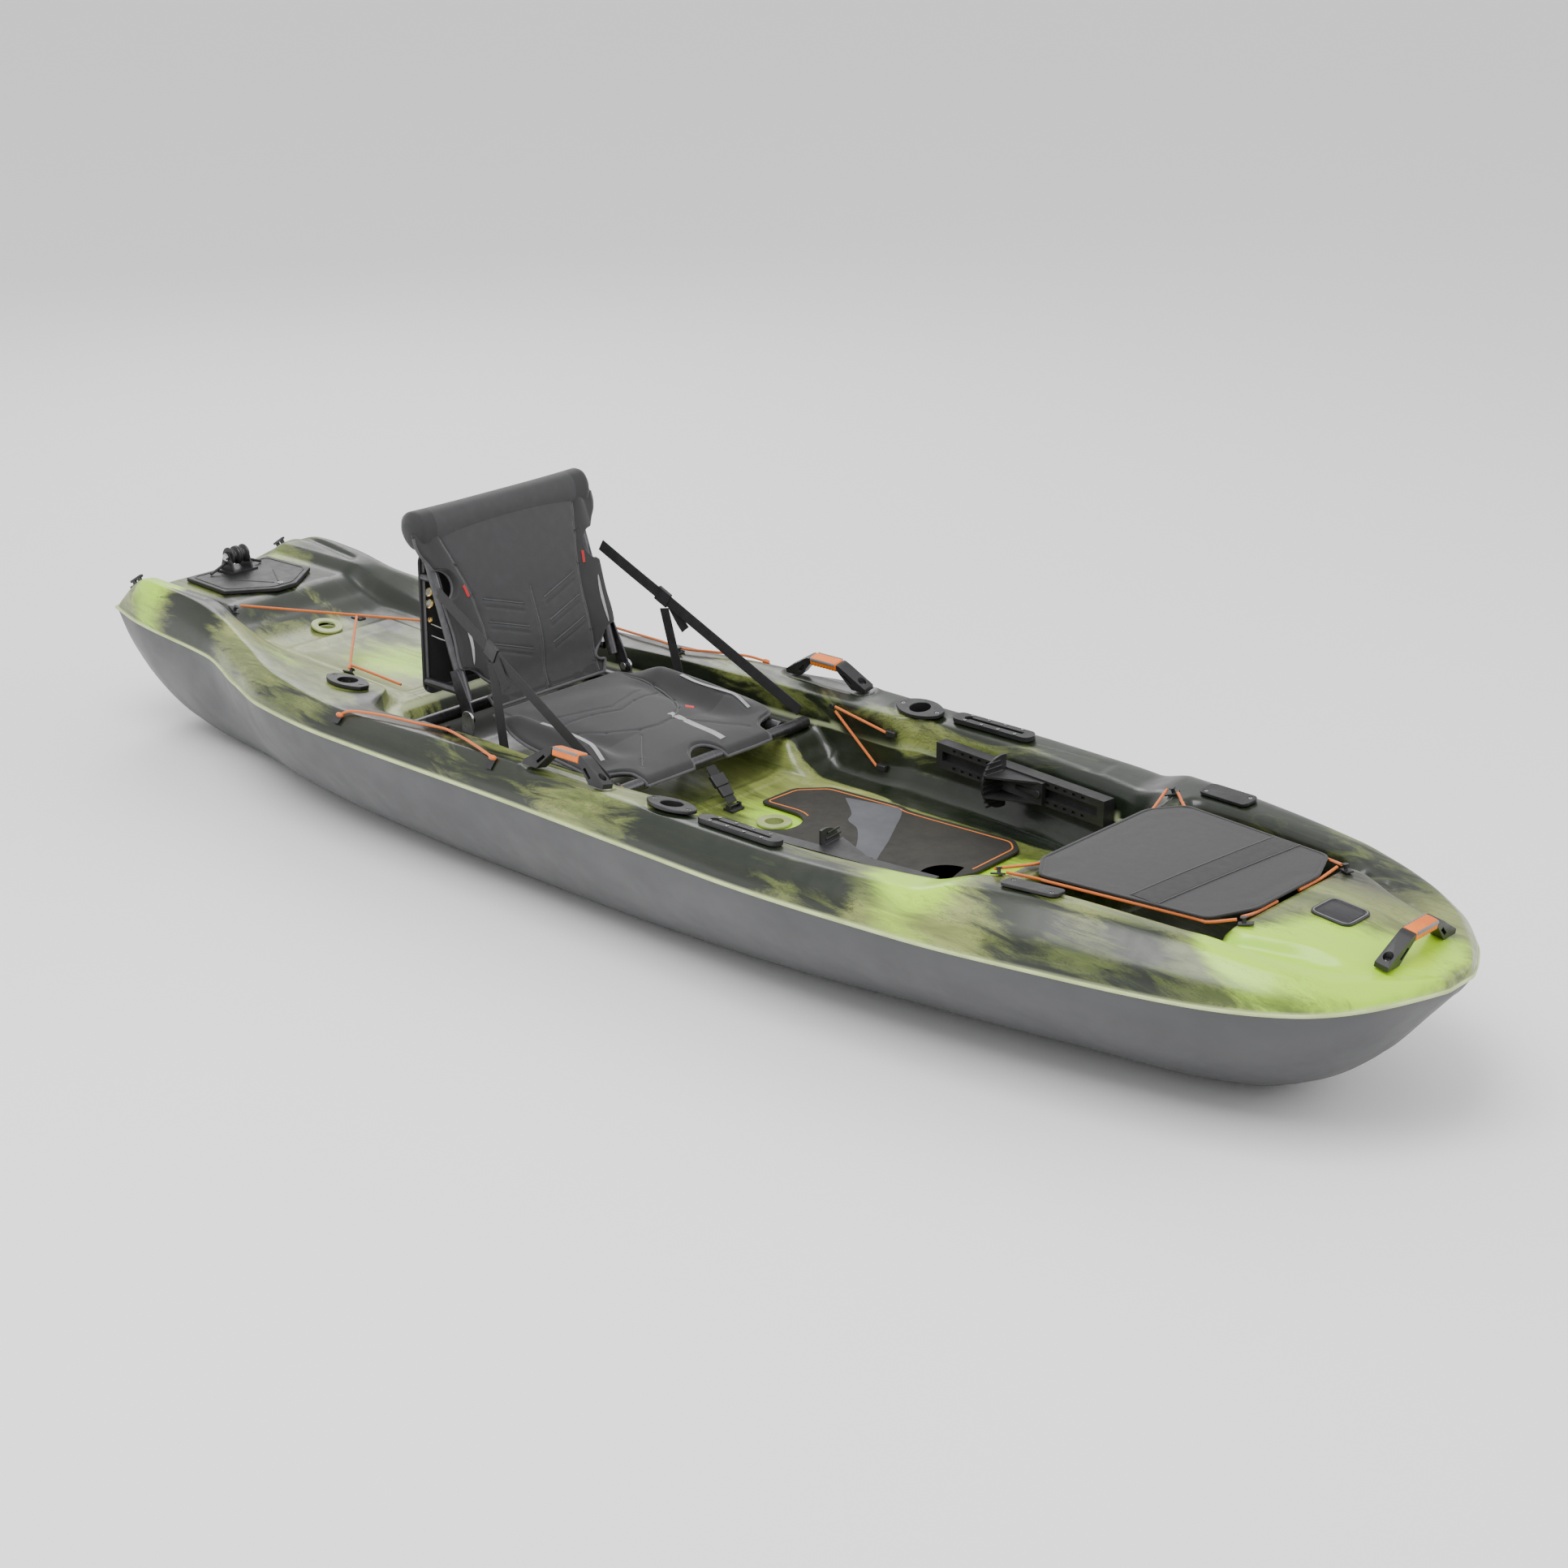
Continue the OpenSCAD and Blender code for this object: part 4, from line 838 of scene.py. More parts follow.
SIDE_HANDLE = Placement((-40, 366, 318.61), (0.99997, -0.0017, 0.0077), (0, 0.97661, 0.215),
                        (-0.0079, -0.215, 0.97658))
BOW_HANDLE = Placement((1514, 0, 309.53), (0, 1, 0), (-0.98598, 0, 0.16686),
                       (0.16686, 0, 0.98598))
BADGE = Placement((1374, 0, 331.68), (0.99501, 0, -0.0998), (0, 1, 0), (0.0998, 0, 0.99501))
ROD_FRONT = Placement((208, 349, 317.085), (0.99986, 0.00248, -0.01657), (0, 0.98897, 0.14813),
                      (0.01675, -0.14811, 0.98883))
ROD_REAR = Placement((-801, 240, 293.462), (0.99938, 0.0033, -0.03498), (0, 0.99558, 0.09396),
                     (0.03514, -0.0939, 0.99496))
TRACK = Placement((382, 358, 317.088), (1, -0.00015, 0.00165), (0, 0.99585, 0.09101),
                  (-0.00166, -0.09101, 0.99585))
PLATE = Placement((965, 284, 349.168), (0.99378, -0.10812, 0.0262), (0.10445, 0.98787, 0.1148),
                  (-0.03829, -0.11135, 0.99304))
STERN = Placement((-1395, 0, 339.748), (0.99999, 0, -0.00476), (0, 1, 0), (0.00476, 0, 0.99999))
ROLLER = STERN.shifted(-52, 0, 9.3)
FOOT = Placement((520, 287.258, 268), (0.99439, -0.10579, 0), (0.10579, 0.99439, 0), (0, 0, 1))
GRIP_REACH = 34.0
HANDLE_SCREW = 88.0
TRACK_SCREW = 12.5
STRAP_TOP = (-534.99, 222.5, 534.43)
LOCK_AT = (-374.03, 236.42, 453.66)
SCREWS = (
    *[(place, 12.3, 0.0028, ((-HANDLE_SCREW, 0), (HANDLE_SCREW, 0)))
      for place in (SIDE_HANDLE, SIDE_HANDLE.mirror(), BOW_HANDLE)],
    *[(place, 10.8, 0.0017, tuple((x, s * TRACK_SCREW) for x in (-60, -20, 20, 60)
                                  for s in (-1, 1))) for place in (TRACK, TRACK.mirror())],
    *[(place, 5.5, 0.0020, ((-42, -10), (42, 10))) for place in (PLATE, PLATE.mirror())],
    *[(place, 6.3, 0.0023, ((-42, 0), (42, 0)))
      for base in (ROD_FRONT, ROD_REAR) for place in (base, base.mirror())],
    (STERN, 11.3, 0.0034, ((96, 0),)),
)


# ---------------------------------------------------------------- the boat's own lines

SEAM_Y = ((-1600, 218), (-1480, 244), (-1230, 262), (-1080, 311), (-930, 365), (-690, 396),
          (-215, 407), (200, 424), (420, 432), (775, 414), (1078, 368), (1240, 336), (1348, 304),
          (1461, 246), (1535, 166), (1580, 86), (1600, 38))
SEAM_Z = ((-1600, 283), (-1400, 271), (-1230, 262), (-1080, 248), (-800, 248), (0, 250),
          (900, 252), (1300, 256), (1500, 263), (1600, 276))
KEEL_Z = ((-1600, 100), (-1540, 46), (-1450, 14), (-1300, 0), (1150, 0), (1286, 12), (1379, 47),
          (1466, 111), (1547, 205), (1585, 250), (1600, 264))
FLAT_Y = ((-1600, 66), (-1284, 100), (-1085, 128), (-720, 173), (-400, 198), (0, 203),
          (240, 190), (456, 162), (651, 124), (842, 88), (1026, 58), (1203, 36), (1300, 26),
          (1450, 18), (1600, 10))
TUNNEL_Z = ((-1600, 0), (-1200, 0), (-900, 18), (600, 18), (950, 0), (1600, 0))
CREST_Y = ((-1600, 190), (-1500, 222), (-1400, 236), (-1230, 238), (-1080, 274), (-930, 322),
           (-690, 352), (-400, 360), (-200, 370), (40, 386), (420, 388), (700, 368), (900, 326),
           (1075, 297), (1295, 262), (1400, 234), (1470, 196), (1530, 131), (1580, 66),
           (1600, 30))
CREST_Z = ((-1600, 302), (-1560, 330), (-1500, 366), (-1440, 378), (-1330, 372), (-1200, 350),
           (-1080, 330), (-900, 308), (-690, 298), (-400, 308), (-150, 318), (40, 322),
           (420, 318), (760, 322), (850, 346), (1000, 352), (1240, 344), (1300, 336),
           (1400, 320), (1470, 308), (1600, 298))
EDGE_Y = ((-1600, 150), (-1520, 184), (-1290, 197), (-1080, 205), (-930, 196), (-800, 188),
          (-740, 196), (-680, 280), (-600, 300), (-400, 300), (-200, 306), (-130, 312), (0, 312),
          (170, 308), (235, 334), (480, 328), (650, 308), (760, 288), (850, 268), (1020, 256),
          (1240, 234), (1300, 226), (1400, 200), (1470, 160), (1530, 104), (1580, 50),
          (1600, 24))
EDGE_Z = ((-1600, 300), (-1540, 340), (-1500, 362), (-1290, 360), (-1200, 334), (-1080, 306),
          (-930, 290), (-690, 286), (-600, 292), (-400, 302), (0, 306), (235, 312), (760, 315),
          (850, 338), (1000, 346), (1240, 340), (1300, 333), (1400, 317), (1470, 307),
          (1600, 297))
WALL_Y = ((-1600, 120), (-1520, 150), (-1300, 158), (-1080, 186), (-930, 180), (-760, 174),
          (-690, 240), (-600, 290), (-200, 300), (0, 303), (170, 294), (235, 302), (480, 286),
          (650, 266), (760, 246), (850, 230), (900, 222), (1020, 216), (1240, 196), (1300, 190),
          (1340, 176), (1400, 152), (1470, 140), (1530, 92), (1580, 44), (1600, 20))
WALL_Z = ((-1600, 298), (-1540, 327), (-1500, 339), (-1290, 336), (-1220, 306), (-1150, 284),
          (-930, 270), (-760, 262), (-690, 250), (-640, 238), (-600, 236), (-30, 236), (25, 182),
          (60, 168), (700, 168), (770, 206), (850, 312), (872, 330), (898, 330), (940, 202),
          (1225, 198), (1266, 300), (1290, 312), (1400, 304), (1470, 304), (1600, 296))
LEDGE_Y = ((-1600, 90), (-1300, 126), (-1080, 150), (-760, 146), (-690, 200), (-600, 216),
           (0, 216), (60, 226), (480, 236), (650, 222), (760, 208), (900, 190), (1240, 168),
           (1300, 174), (1340, 160), (1400, 134), (1470, 118), (1530, 70), (1580, 34),
           (1600, 15))
LEDGE_Z = ((-1600, 298), (-1540, 327), (-1500, 339), (-1290, 337), (-1220, 304), (-1150, 277),
           (-930, 266), (-760, 258), (-690, 248), (-640, 237), (-600, 235), (-30, 235), (25, 180),
           (60, 166), (700, 166), (770, 204), (850, 312), (872, 330), (898, 330), (940, 196),
           (1225, 192), (1266, 318), (1290, 334), (1400, 325), (1470, 313), (1600, 295))
FLOOR_Z = ((-1600, 298), (-1540, 327), (-1500, 339), (-1290, 338), (-1220, 304), (-1150, 275),
           (-930, 264), (-720, 256), (-650, 206), (-590, 174), (0, 168), (60, 165), (700, 165),
           (770, 202), (850, 312), (872, 331), (898, 331), (940, 194), (1225, 190), (1266, 320),
           (1290, 336), (1400, 328), (1470, 316), (1600, 294))
SCUPPERS = (-1150.0, 140.0, 560.0)
ROD_HOLDERS = ((208.0, 349.0), (-801.0, 240.0))


def deck_corners(x: Array) -> Array:
    """The ten corner points, seam to middle, of the deck's half section at each station, in mm."""
    s, zs = hermite(SEAM_Y, x), hermite(SEAM_Z, x)
    c, zc = hermite(CREST_Y, x), hermite(CREST_Z, x)
    e, ze = hermite(EDGE_Y, x), hermite(EDGE_Z, x)
    w, zw = hermite(WALL_Y, x), hermite(WALL_Z, x)
    ledge, zl, zf = hermite(LEDGE_Y, x), hermite(LEDGE_Z, x), hermite(FLOOR_Z, x)
    rows = ((s, zs), (s - 0.12 * (s - c), zs + 0.45 * (zc - zs)),
            (c + 0.3 * (s - c), zs + 0.86 * (zc - zs)), (c, zc), (e, ze),
            (e - 0.3 * (e - w), ze - 0.12 * (ze - zw)), (w, zw), (ledge, zl),
            (0.93 * ledge, zf), (0 * x, zf))
    return np.stack([np.stack(row, -1) for row in rows], -2)


def deck_height(x: float, y: float) -> float:
    """Height of the deck over a plan point, all in mm."""
    half = deck_corners(np.array([float(x)]))[0]
    return float(np.interp(abs(y), half[::-1, 0], half[::-1, 1]))


def over_deck(x: float, y: float, above: float) -> Array:
    """A point above the deck, all in mm."""
    return np.array([x, y, deck_height(x, y) + above])


def wall_half(x: float, z: float) -> float:
    """Half the width between the cockpit's inner walls at a station and height, in mm."""
    half = deck_corners(np.array([float(x)]))[0]
    (yw, zw), (ye, ze) = half[6], half[5]
    return float(yw + (ye - yw) * (z - zw) / (ze - zw))


def rounded_rows(corners: Array, share: Sequence[float], bends: Sequence[int],
                 straights: Sequence[int]) -> Array:
    """Section rows with each inner corner rounded.

    Corner k is replaced by a quadratic curve between the points a fraction share[k] along its
    two sides. bends and straights count the points on each corner and between corners.
    """
    p = corners
    out = [p[:, :1]]
    last = p[:, 0]
    for k in range(1, p.shape[1] - 1):
        a = p[:, k] + share[k - 1] * (p[:, k - 1] - p[:, k])
        b = p[:, k] + share[k - 1] * (p[:, k + 1] - p[:, k])
        t = np.linspace(0, 1, straights[k - 1] + 2)[1:-1, None]
        out.append(last[:, None] * (1 - t) + a[:, None] * t)
        t = np.linspace(0, 1, bends[k - 1])[:, None]
        out.append((1 - t)**2 * a[:, None] + 2 * t * (1 - t) * p[:, k:k + 1] + t**2 * b[:, None])
        last = b
    t = np.linspace(0, 1, straights[-1] + 2)[1:, None]
    out.append(last[:, None] * (1 - t) + p[:, -1:] * t)
    return np.concatenate(out, 1)


def stations(count: int) -> Array:
    """Stations along the boat, closer together where the deck steps up or down, in mm."""
    x = np.linspace(-1600, 1600, 6401)
    density = (1 + 1.6 * (bump(x + 675, 90) + bump(x, 60) + bump(x - 810, 90) + bump(x - 920, 40)
                          + bump(x - 1250, 45)) + 5 * bump(x + 1600, 18) + 7 * bump(x - 1600, 14)
               + 0.8 * bump(x + 1240, 70))
    run = np.concatenate([[0], np.cumsum((density[1:] + density[:-1]) / 2)])
    return np.interp(np.linspace(0, run[-1], count), run, x)


def closed_ends(rows: Array, x: Array) -> Array:
    """Draws the sections in to a level line at each end.

    The share of the true section grows as a quarter circle over 24 mm at the stern and 12 mm
    at the bow. The level line is at the seam's height, evenly spread over its breadth.
    """
    m = rows.shape[1]
    level = np.stack([rows[:, :1, 0] * np.linspace(1, 0, m), np.repeat(rows[:, :1, 1], m, 1)], -1)
    s = np.minimum(np.clip((x + 1600) / 24, 0, 1), np.clip((1600 - x) / 12, 0, 1))
    w = np.sqrt(1 - (1 - s)**2)[:, None, None]
    return level + (rows - level) * w


def whole(rows: Array, x: Array) -> Array:
    """Half sections made into whole ones, port to starboard, as points in metres."""
    half = np.concatenate([np.repeat(x[:, None, None], rows.shape[1], 1), rows], -1)
    return np.concatenate([half, half[:, -2::-1] * [1, -1, 1]], 1) * MM


def outward(g: Array) -> Array:
    """Unit normals of a grid of points."""
    n = np.cross(np.gradient(g, axis=0), np.gradient(g, axis=1))
    return n / np.maximum(np.linalg.norm(n, axis=2, keepdims=True), 1e-12)


def opened(g: Array, centre: Sequence[float], radius: float, axes: tuple[int, int]) -> Array:
    """Opens a round hole in a grid.

    Points within a face's size of the circle are moved onto it, and the faces inside are
    dropped.

    Args:
        g: grid of points, changed in place.
        centre: the circle's middle on the two axes.
        radius: its radius in metres.
        axes: the two axes that the circle lies across.

    Returns:
        Which faces to keep.
    """
    d = g[..., list(axes)] - np.asarray(centre)
    r = np.linalg.norm(d, axis=-1)
    near = np.abs(r - radius) < 0.0034
    factor = np.where(near, radius / np.maximum(r, 1e-9), 1.0)
    for k, axis in enumerate(axes):
        g[..., axis] = centre[k] + d[..., k] * factor
    r = np.where(near, radius, r)
    corner = np.stack([r[:-1, :-1], r[1:, :-1], r[1:, 1:], r[:-1, 1:]])
    return corner.mean(0) > radius - 0.0009


@dataclass
class Hull:
    """Grey lower half of the boat, with its keel tunnels and the lip along the seam."""

    rows: int = 430
    flank: int = 44
    scupper: float = 0.0222
    drain: float = 0.0165
    drain_height: float = 0.150

    def half(self, x: Array) -> Array:
        """Half sections: a cubic curve from the seam to the flat, then the keel and tunnel."""
        s, zs = hermite(SEAM_Y, x), hermite(SEAM_Z, x)
        b, zk, arch = hermite(FLAT_Y, x), hermite(KEEL_Z, x), hermite(TUNNEL_Z, x)
        dy, dz = s - b, zs - zk
        t = np.linspace(1, 0, self.flank)
        u = 1 - t
        basis = np.stack([u**3, 3 * u * u * t, 3 * u * t * t, t**3])
        ys = np.stack([b, b + 0.4 * dy, s - 0.13 * dy, s])
        zz = np.stack([zk, zk + 0.06 * dz, zs - 0.5 * dz, zs])
        side = np.stack([ys.T @ basis, zz.T @ basis], -1)
        knots = np.stack([np.stack([k * b, z], -1) for k, z in
                          ((1.0, zk), (0.82, zk), (0.5, zk + arch), (0.16, zk), (0.0, zk))], -2)
        base = rounded_rows(knots, (0.4, 0.45, 0.45), (6, 9, 7), (3, 3, 3, 2))
        return np.concatenate([side, base[:, 1:]], 1)

    def build(self) -> None:
        """Makes the hull's skin and its seam lip."""
        x = stations(self.rows)
        g = whole(closed_ends(self.half(x), x), x)
        plan = np.abs(g[..., 1])
        fair = 0.0012 * bump(plan - np.interp(g[..., 0], x * MM, hermite(FLAT_Y, x) * MM), 0.02)
        g = g + outward(g) * fair[..., None]
        g[..., 2] = np.maximum(g[..., 2], 0.0)
        keep = np.ones((g.shape[0] - 1, g.shape[1] - 1), bool)
        for at in SCUPPERS:
            hole = opened(g, (at * MM, 0.0), self.scupper, (0, 1))
            keep &= hole | (g[:-1, :-1, 2] > 0.12)
        stern = g[..., 0] < -1.4
        ring = g.copy()
        drain = opened(ring, (0.0, self.drain_height), self.drain, (1, 2))
        g[stern] = ring[stern]
        keep &= drain | ~stern[:-1, :-1]
        skin = Skin()
        skin.grid(g, keep=keep)
        DRESS.dress(skin.piece("hull_skin", weld=0), Look.HULL, BOAT, "hull_shell")
        self.lip()

    def lip(self) -> None:
        """The pale lip where the two halves meet, right round the boat."""
        x = np.concatenate([np.linspace(-1600, 1560, 420), np.linspace(1562, 1600, 30)])
        port = np.stack([x, hermite(SEAM_Y, x), hermite(SEAM_Z, x)], 1)
        star = port[::-1] * [1, -1, 1]
        path = even(np.vstack([port, star, port[:1]]) * MM, 760)[:-1]
        skin = Skin()
        sweep(skin, path, lozenge(0.0058, 0.0062, 3.0, 12), closed=True)
        wear(skin, "seam_lip", Look.BEAD)


@dataclass
class Deck:
    """Marbled upper half: stern horns, tank well, cockpit, gunwales and bow well."""

    rows: int = 512
    scupper: float = 0.0275
    rod_hole: float = 0.0262
    share: tuple[float, ...] = (0.38, 0.45, 0.42, 0.34, 0.38, 0.32, 0.3, 0.3)
    bends: tuple[int, ...] = (5, 7, 9, 8, 5, 7, 5, 5)
    straights: tuple[int, ...] = (4, 3, 4, 7, 3, 9, 3, 2, 14)

    def ridges(self, x: Array, y: Array, z: Array) -> Array:
        """Raised and sunken detail of the moulding, in mm, over plan points.

        Every rim, groove and recess is a smooth step or a bell of the distance in plan to
        its outline.
        """
        ay = np.abs(y)
        out = np.zeros_like(x)
        low = smooth(z, 215, 190) * smooth(x, -40, -20)
        rim = np.array(((10, 0), (4, 172), (205, 214), (240, 232), (340, 236), (600, 230),
                        (655, 196), (690, 0)), float)
        rim = np.vstack([rim, rim[-2:0:-1] * [1, -1]])
        d = outline_distance(x, y, rim)
        out += low * (3.0 * smooth(d, 2, 9) + 2.0 * smooth(d, 18, 26))
        out -= low * 2.2 * bump(segment_distance(x, ay, (585, 160), (612, 196)), 4)
        out -= low * 2.2 * bump(segment_distance(x, ay, (622, 40), (628, 150)), 4)
        out += low * 1.6 * bump(np.hypot(x - 70, ay - 289) - 40, 4)
        horn = segment_distance(x, ay, (-1536, 222), (-1300, 205))
        out -= 4.2 * bump(horn, 8) * smooth(z, 320, 340)
        tank = np.maximum(np.abs(x + 920) - 165, ay - 118)
        out -= 3.5 * smooth(tank, 5, -5) * smooth(z, 300, 285)
        out += 2.2 * bump(np.maximum(np.abs(x + 920) - 190, ay - 140), 5) * smooth(z, 300, 285)
        for cx, cy in ROD_HOLDERS:
            out -= 2.0 * bump(np.hypot((x - cx) / 1.55, ay - cy) - 37, 3.5)
        grab = np.hypot(np.maximum(np.abs(x + 40) - 92, 0), ay - 366)
        out -= 4.0 * smooth(grab, 24, 14)
        out += 1.4 * bump(grab - 27, 5)
        badge = np.hypot(np.maximum(np.abs(x - 1374) - 30, 0), np.maximum(ay - 30, 0))
        out += 2.4 * smooth(badge, 36, 24) - 0.9 * bump(badge - 16, 5)
        bow = np.array(((1262, 176), (1300, 196), (1352, 190), (1400, 166), (1450, 138)), float)
        for a, b in zip(bow[:-1], bow[1:]):
            out -= 2.6 * bump(segment_distance(x, ay, a, b), 7) * smooth(z, 290, 310)
        well = np.maximum(np.abs(x - 1078) - 190, ay - (214 - 0.1 * (x - 1078)))
        out += 1.8 * bump(well - 12, 6) * smooth(z, 325, 335) * smooth(np.abs(x - 1078), 260, 230)
        step = np.maximum(np.abs(x - 440) - 232, np.abs(ay - 330) - 22)
        out -= 1.5 * smooth(step, 4, -4) * smooth(z, 305, 312)
        swell = np.sin(x / 47.0 + 0.9 * np.sin(ay / 31.0)) * np.sin(ay / 29.0 + 1.2)
        return out + 0.35 * swell

    def shades(self, x: Array, y: Array, z: Array) -> dict[str, Array]:
        """How bright, dark and brown each place is, as sums of bells over plan points, with
        painted shade on the cockpit's inner walls.
        """
        def blobs(*items: tuple[float, float, float, float, float]) -> Array:
            """Bells at (x, y) with half lengths (rx, ry) and a height each."""
            return sum(h * np.exp(-((x - cx) / rx)**2 - ((y - cy) / ry)**2)
                       for cx, cy, rx, ry, h in items)

        lime = blobs((-1450, -200, 90, 70, 0.75), (-1500, 150, 80, 60, 0.35),
                     (-1000, -250, 130, 60, 0.40), (-900, 0, 200, 120, 0.55),
                     (380, 0, 420, 230, 0.62), (760, -330, 110, 90, 0.72),
                     (1430, -120, 120, 130, 0.95), (1330, -230, 90, 70, 0.75),
                     (1540, 0, 60, 120, 0.7), (-760, -360, 90, 60, 0.30),
                     (120, -400, 120, 40, 0.25), (640, 0, 60, 200, 0.4),
                     (1090, 0, 160, 120, 0.2), (-300, 0, 240, 200, 0.15))
        dark_swirl_and_shade = blobs((-1300, -220, 110, 90, 0.85), (-560, -380, 190, 70, 0.95),
                      (-180, -390, 150, 60, 0.55), (320, -400, 170, 60, 0.85),
                      (620, -395, 80, 60, 0.45), (960, -320, 120, 70, 0.55),
                      (-1100, -300, 120, 40, 0.25), (-1250, 180, 180, 90, 0.8),
                      (-700, 360, 420, 80, 0.75), (200, 380, 500, 80, 0.65),
                      (900, 300, 300, 70, 0.55), (1200, 200, 160, 90, 0.35),
                      (1200, -300, 70, 40, 0.4), (1560, -40, 30, 60, 0.2),
                      (-600, 0, 160, 260, 0.7), (-1240, 0, 90, 120, 0.5),
                      (840, 0, 60, 260, 0.4))
        warm = blobs((-700, 350, 260, 70, 0.5), (150, 385, 260, 60, 0.4),
                     (900, 300, 260, 80, 0.55), (1350, 150, 130, 90, 0.6),
                     (-1450, 200, 120, 60, 0.35), (-1000, 260, 160, 60, 0.3),
                     (-240, -395, 140, 40, 0.2), (1050, -330, 120, 50, 0.3))
        # Painted shade: the cockpit's steep inner walls are darkened and lose their lime, for the
        # shade that falls on them; the bells above are the marbling's own patches.
        inner = smooth(np.abs(y), 312, 285) * smooth(np.abs(y), 225, 250) * smooth(z, 300, 270)
        inner = inner * smooth(np.abs(x + 50), 750, 650)
        dark_swirl_and_shade = dark_swirl_and_shade + 1.1 * inner
        lime = lime * (1 - 0.8 * inner)
        seam = np.abs(z - np.interp(x, *np.array(SEAM_Z, float).T))
        return {"lime": lime, "dark_swirl_and_shade": dark_swirl_and_shade, "warm": warm, "edge": smooth(seam, 9, 1)}

    def build(self) -> None:
        """Makes the deck's skin with its holes, its regions of colour and its painted shade on the
        cockpit walls.
        """
        x = stations(self.rows)
        rows = rounded_rows(deck_corners(x), self.share, self.bends, self.straights)
        g = whole(closed_ends(rows, x), x)
        normal = -outward(g)
        px, py, pz = (g[..., k] / MM for k in range(3))
        across = np.abs(np.linspace(-1, 1, g.shape[1]))
        fade = smooth(np.abs(px), 1599, 1560) * smooth(across, 1.0, 0.97)[None]
        shades = self.shades(px, py, pz)
        g = g + normal * (self.ridges(px, py, pz) * fade * MM)[..., None]
        keep = np.ones((g.shape[0] - 1, g.shape[1] - 1), bool)
        for at in SCUPPERS:
            keep &= opened(g, (at * MM, 0.0), self.scupper, (0, 1))
        for cx, cy in ROD_HOLDERS:
            for side in (1, -1):
                keep &= opened(g, (cx * MM, side * cy * MM), self.rod_hole, (0, 1))
        skin = Skin()
        skin.grid(g, flip=True, keep=keep)
        DRESS.dress(skin.piece("deck_skin", weld=0, values=shades), Look.DECK, BOAT, "deck_shell")


# ---------------------------------------------------------------- fittings


@dataclass(frozen=True)
class Fitting:
    """One moulded or metal fitting that keeps its CAD form, with rounded edges."""

    node: str
    bevel: float
    look: Look = Look.NYLON
    body: str = BOAT
    segments: int = 2
    sink: float = 0.0


SIDES = ("left", "right")
FITTINGS = (
    Fitting("foam_stringers", 0.004, Look.FOAM),
    Fitting("scupper_tubes", 0.0012, Look.SCUPPER),
    Fitting("drain_socket", 0.0006),
    Fitting("drain_plug", 0.0006, body="drain_cap"),
    *[Fitting(f"rod_holder_{end}_{side}", 0.0014) for end in ("front", "rear")
      for side in SIDES],
    *[Fitting(f"gear_track_{side}", 0.0007) for side in SIDES],
    Fitting("accessory_plates", 0.0015),
    *[Fitting(f"side_handle_{side}", 0.0022, segments=3) for side in SIDES],
    Fitting("bow_handle", 0.0022, segments=3),
    Fitting("bow_badge", 0.0012),
    Fitting("bow_hooks", 0.0009),
    Fitting("tank_hooks", 0.0009),
    Fitting("paddle_hooks", 0.0005),
    Fitting("wall_clips", 0.0015),
    *[Fitting(f"foot_track_{side}", 0.0010) for side in SIDES],
    *[Fitting(f"foot_pedal_{side}", 0.0010, body=f"pedal_{side}") for side in SIDES],
    *[Fitting(f"pedal_lever_{side}", 0.0010, body=f"lever_{side}") for side in SIDES],
    Fitting("strap_anchor", 0.0008),
    Fitting("buckle_housing", 0.0018, segments=3),
    Fitting("buckle_plug", 0.0014, segments=3),
    Fitting("stern_plate", 0.0016),
    Fitting("roller_bracket", 0.0009),
    Fitting("roller_axle", 0.0006, Look.STEEL),
    *[Fitting(f"roller_{side}", 0.0014, body=f"wheel_{side}") for side in SIDES],
    Fitting("stern_cleats", 0.0012, sink=0.0065),
    Fitting("fitting_screws", 0.0005, Look.STEEL),
    *[Fitting(f"seat_{part}", 0.0012, Look.TUBE)
      for part in ("front_tube", "rear_tube", "side_tubes")],
    Fitting("hinge_pins", 0.0006, Look.STEEL),
    Fitting("hinge_brackets", 0.0008, Look.PLATE, BACK),
    *[Fitting(f"back_{part}", 0.0012, Look.TUBE, BACK) for part in ("uprights", "cross_tubes")],
    Fitting("strap_buckles", 0.0014, segments=3),
)


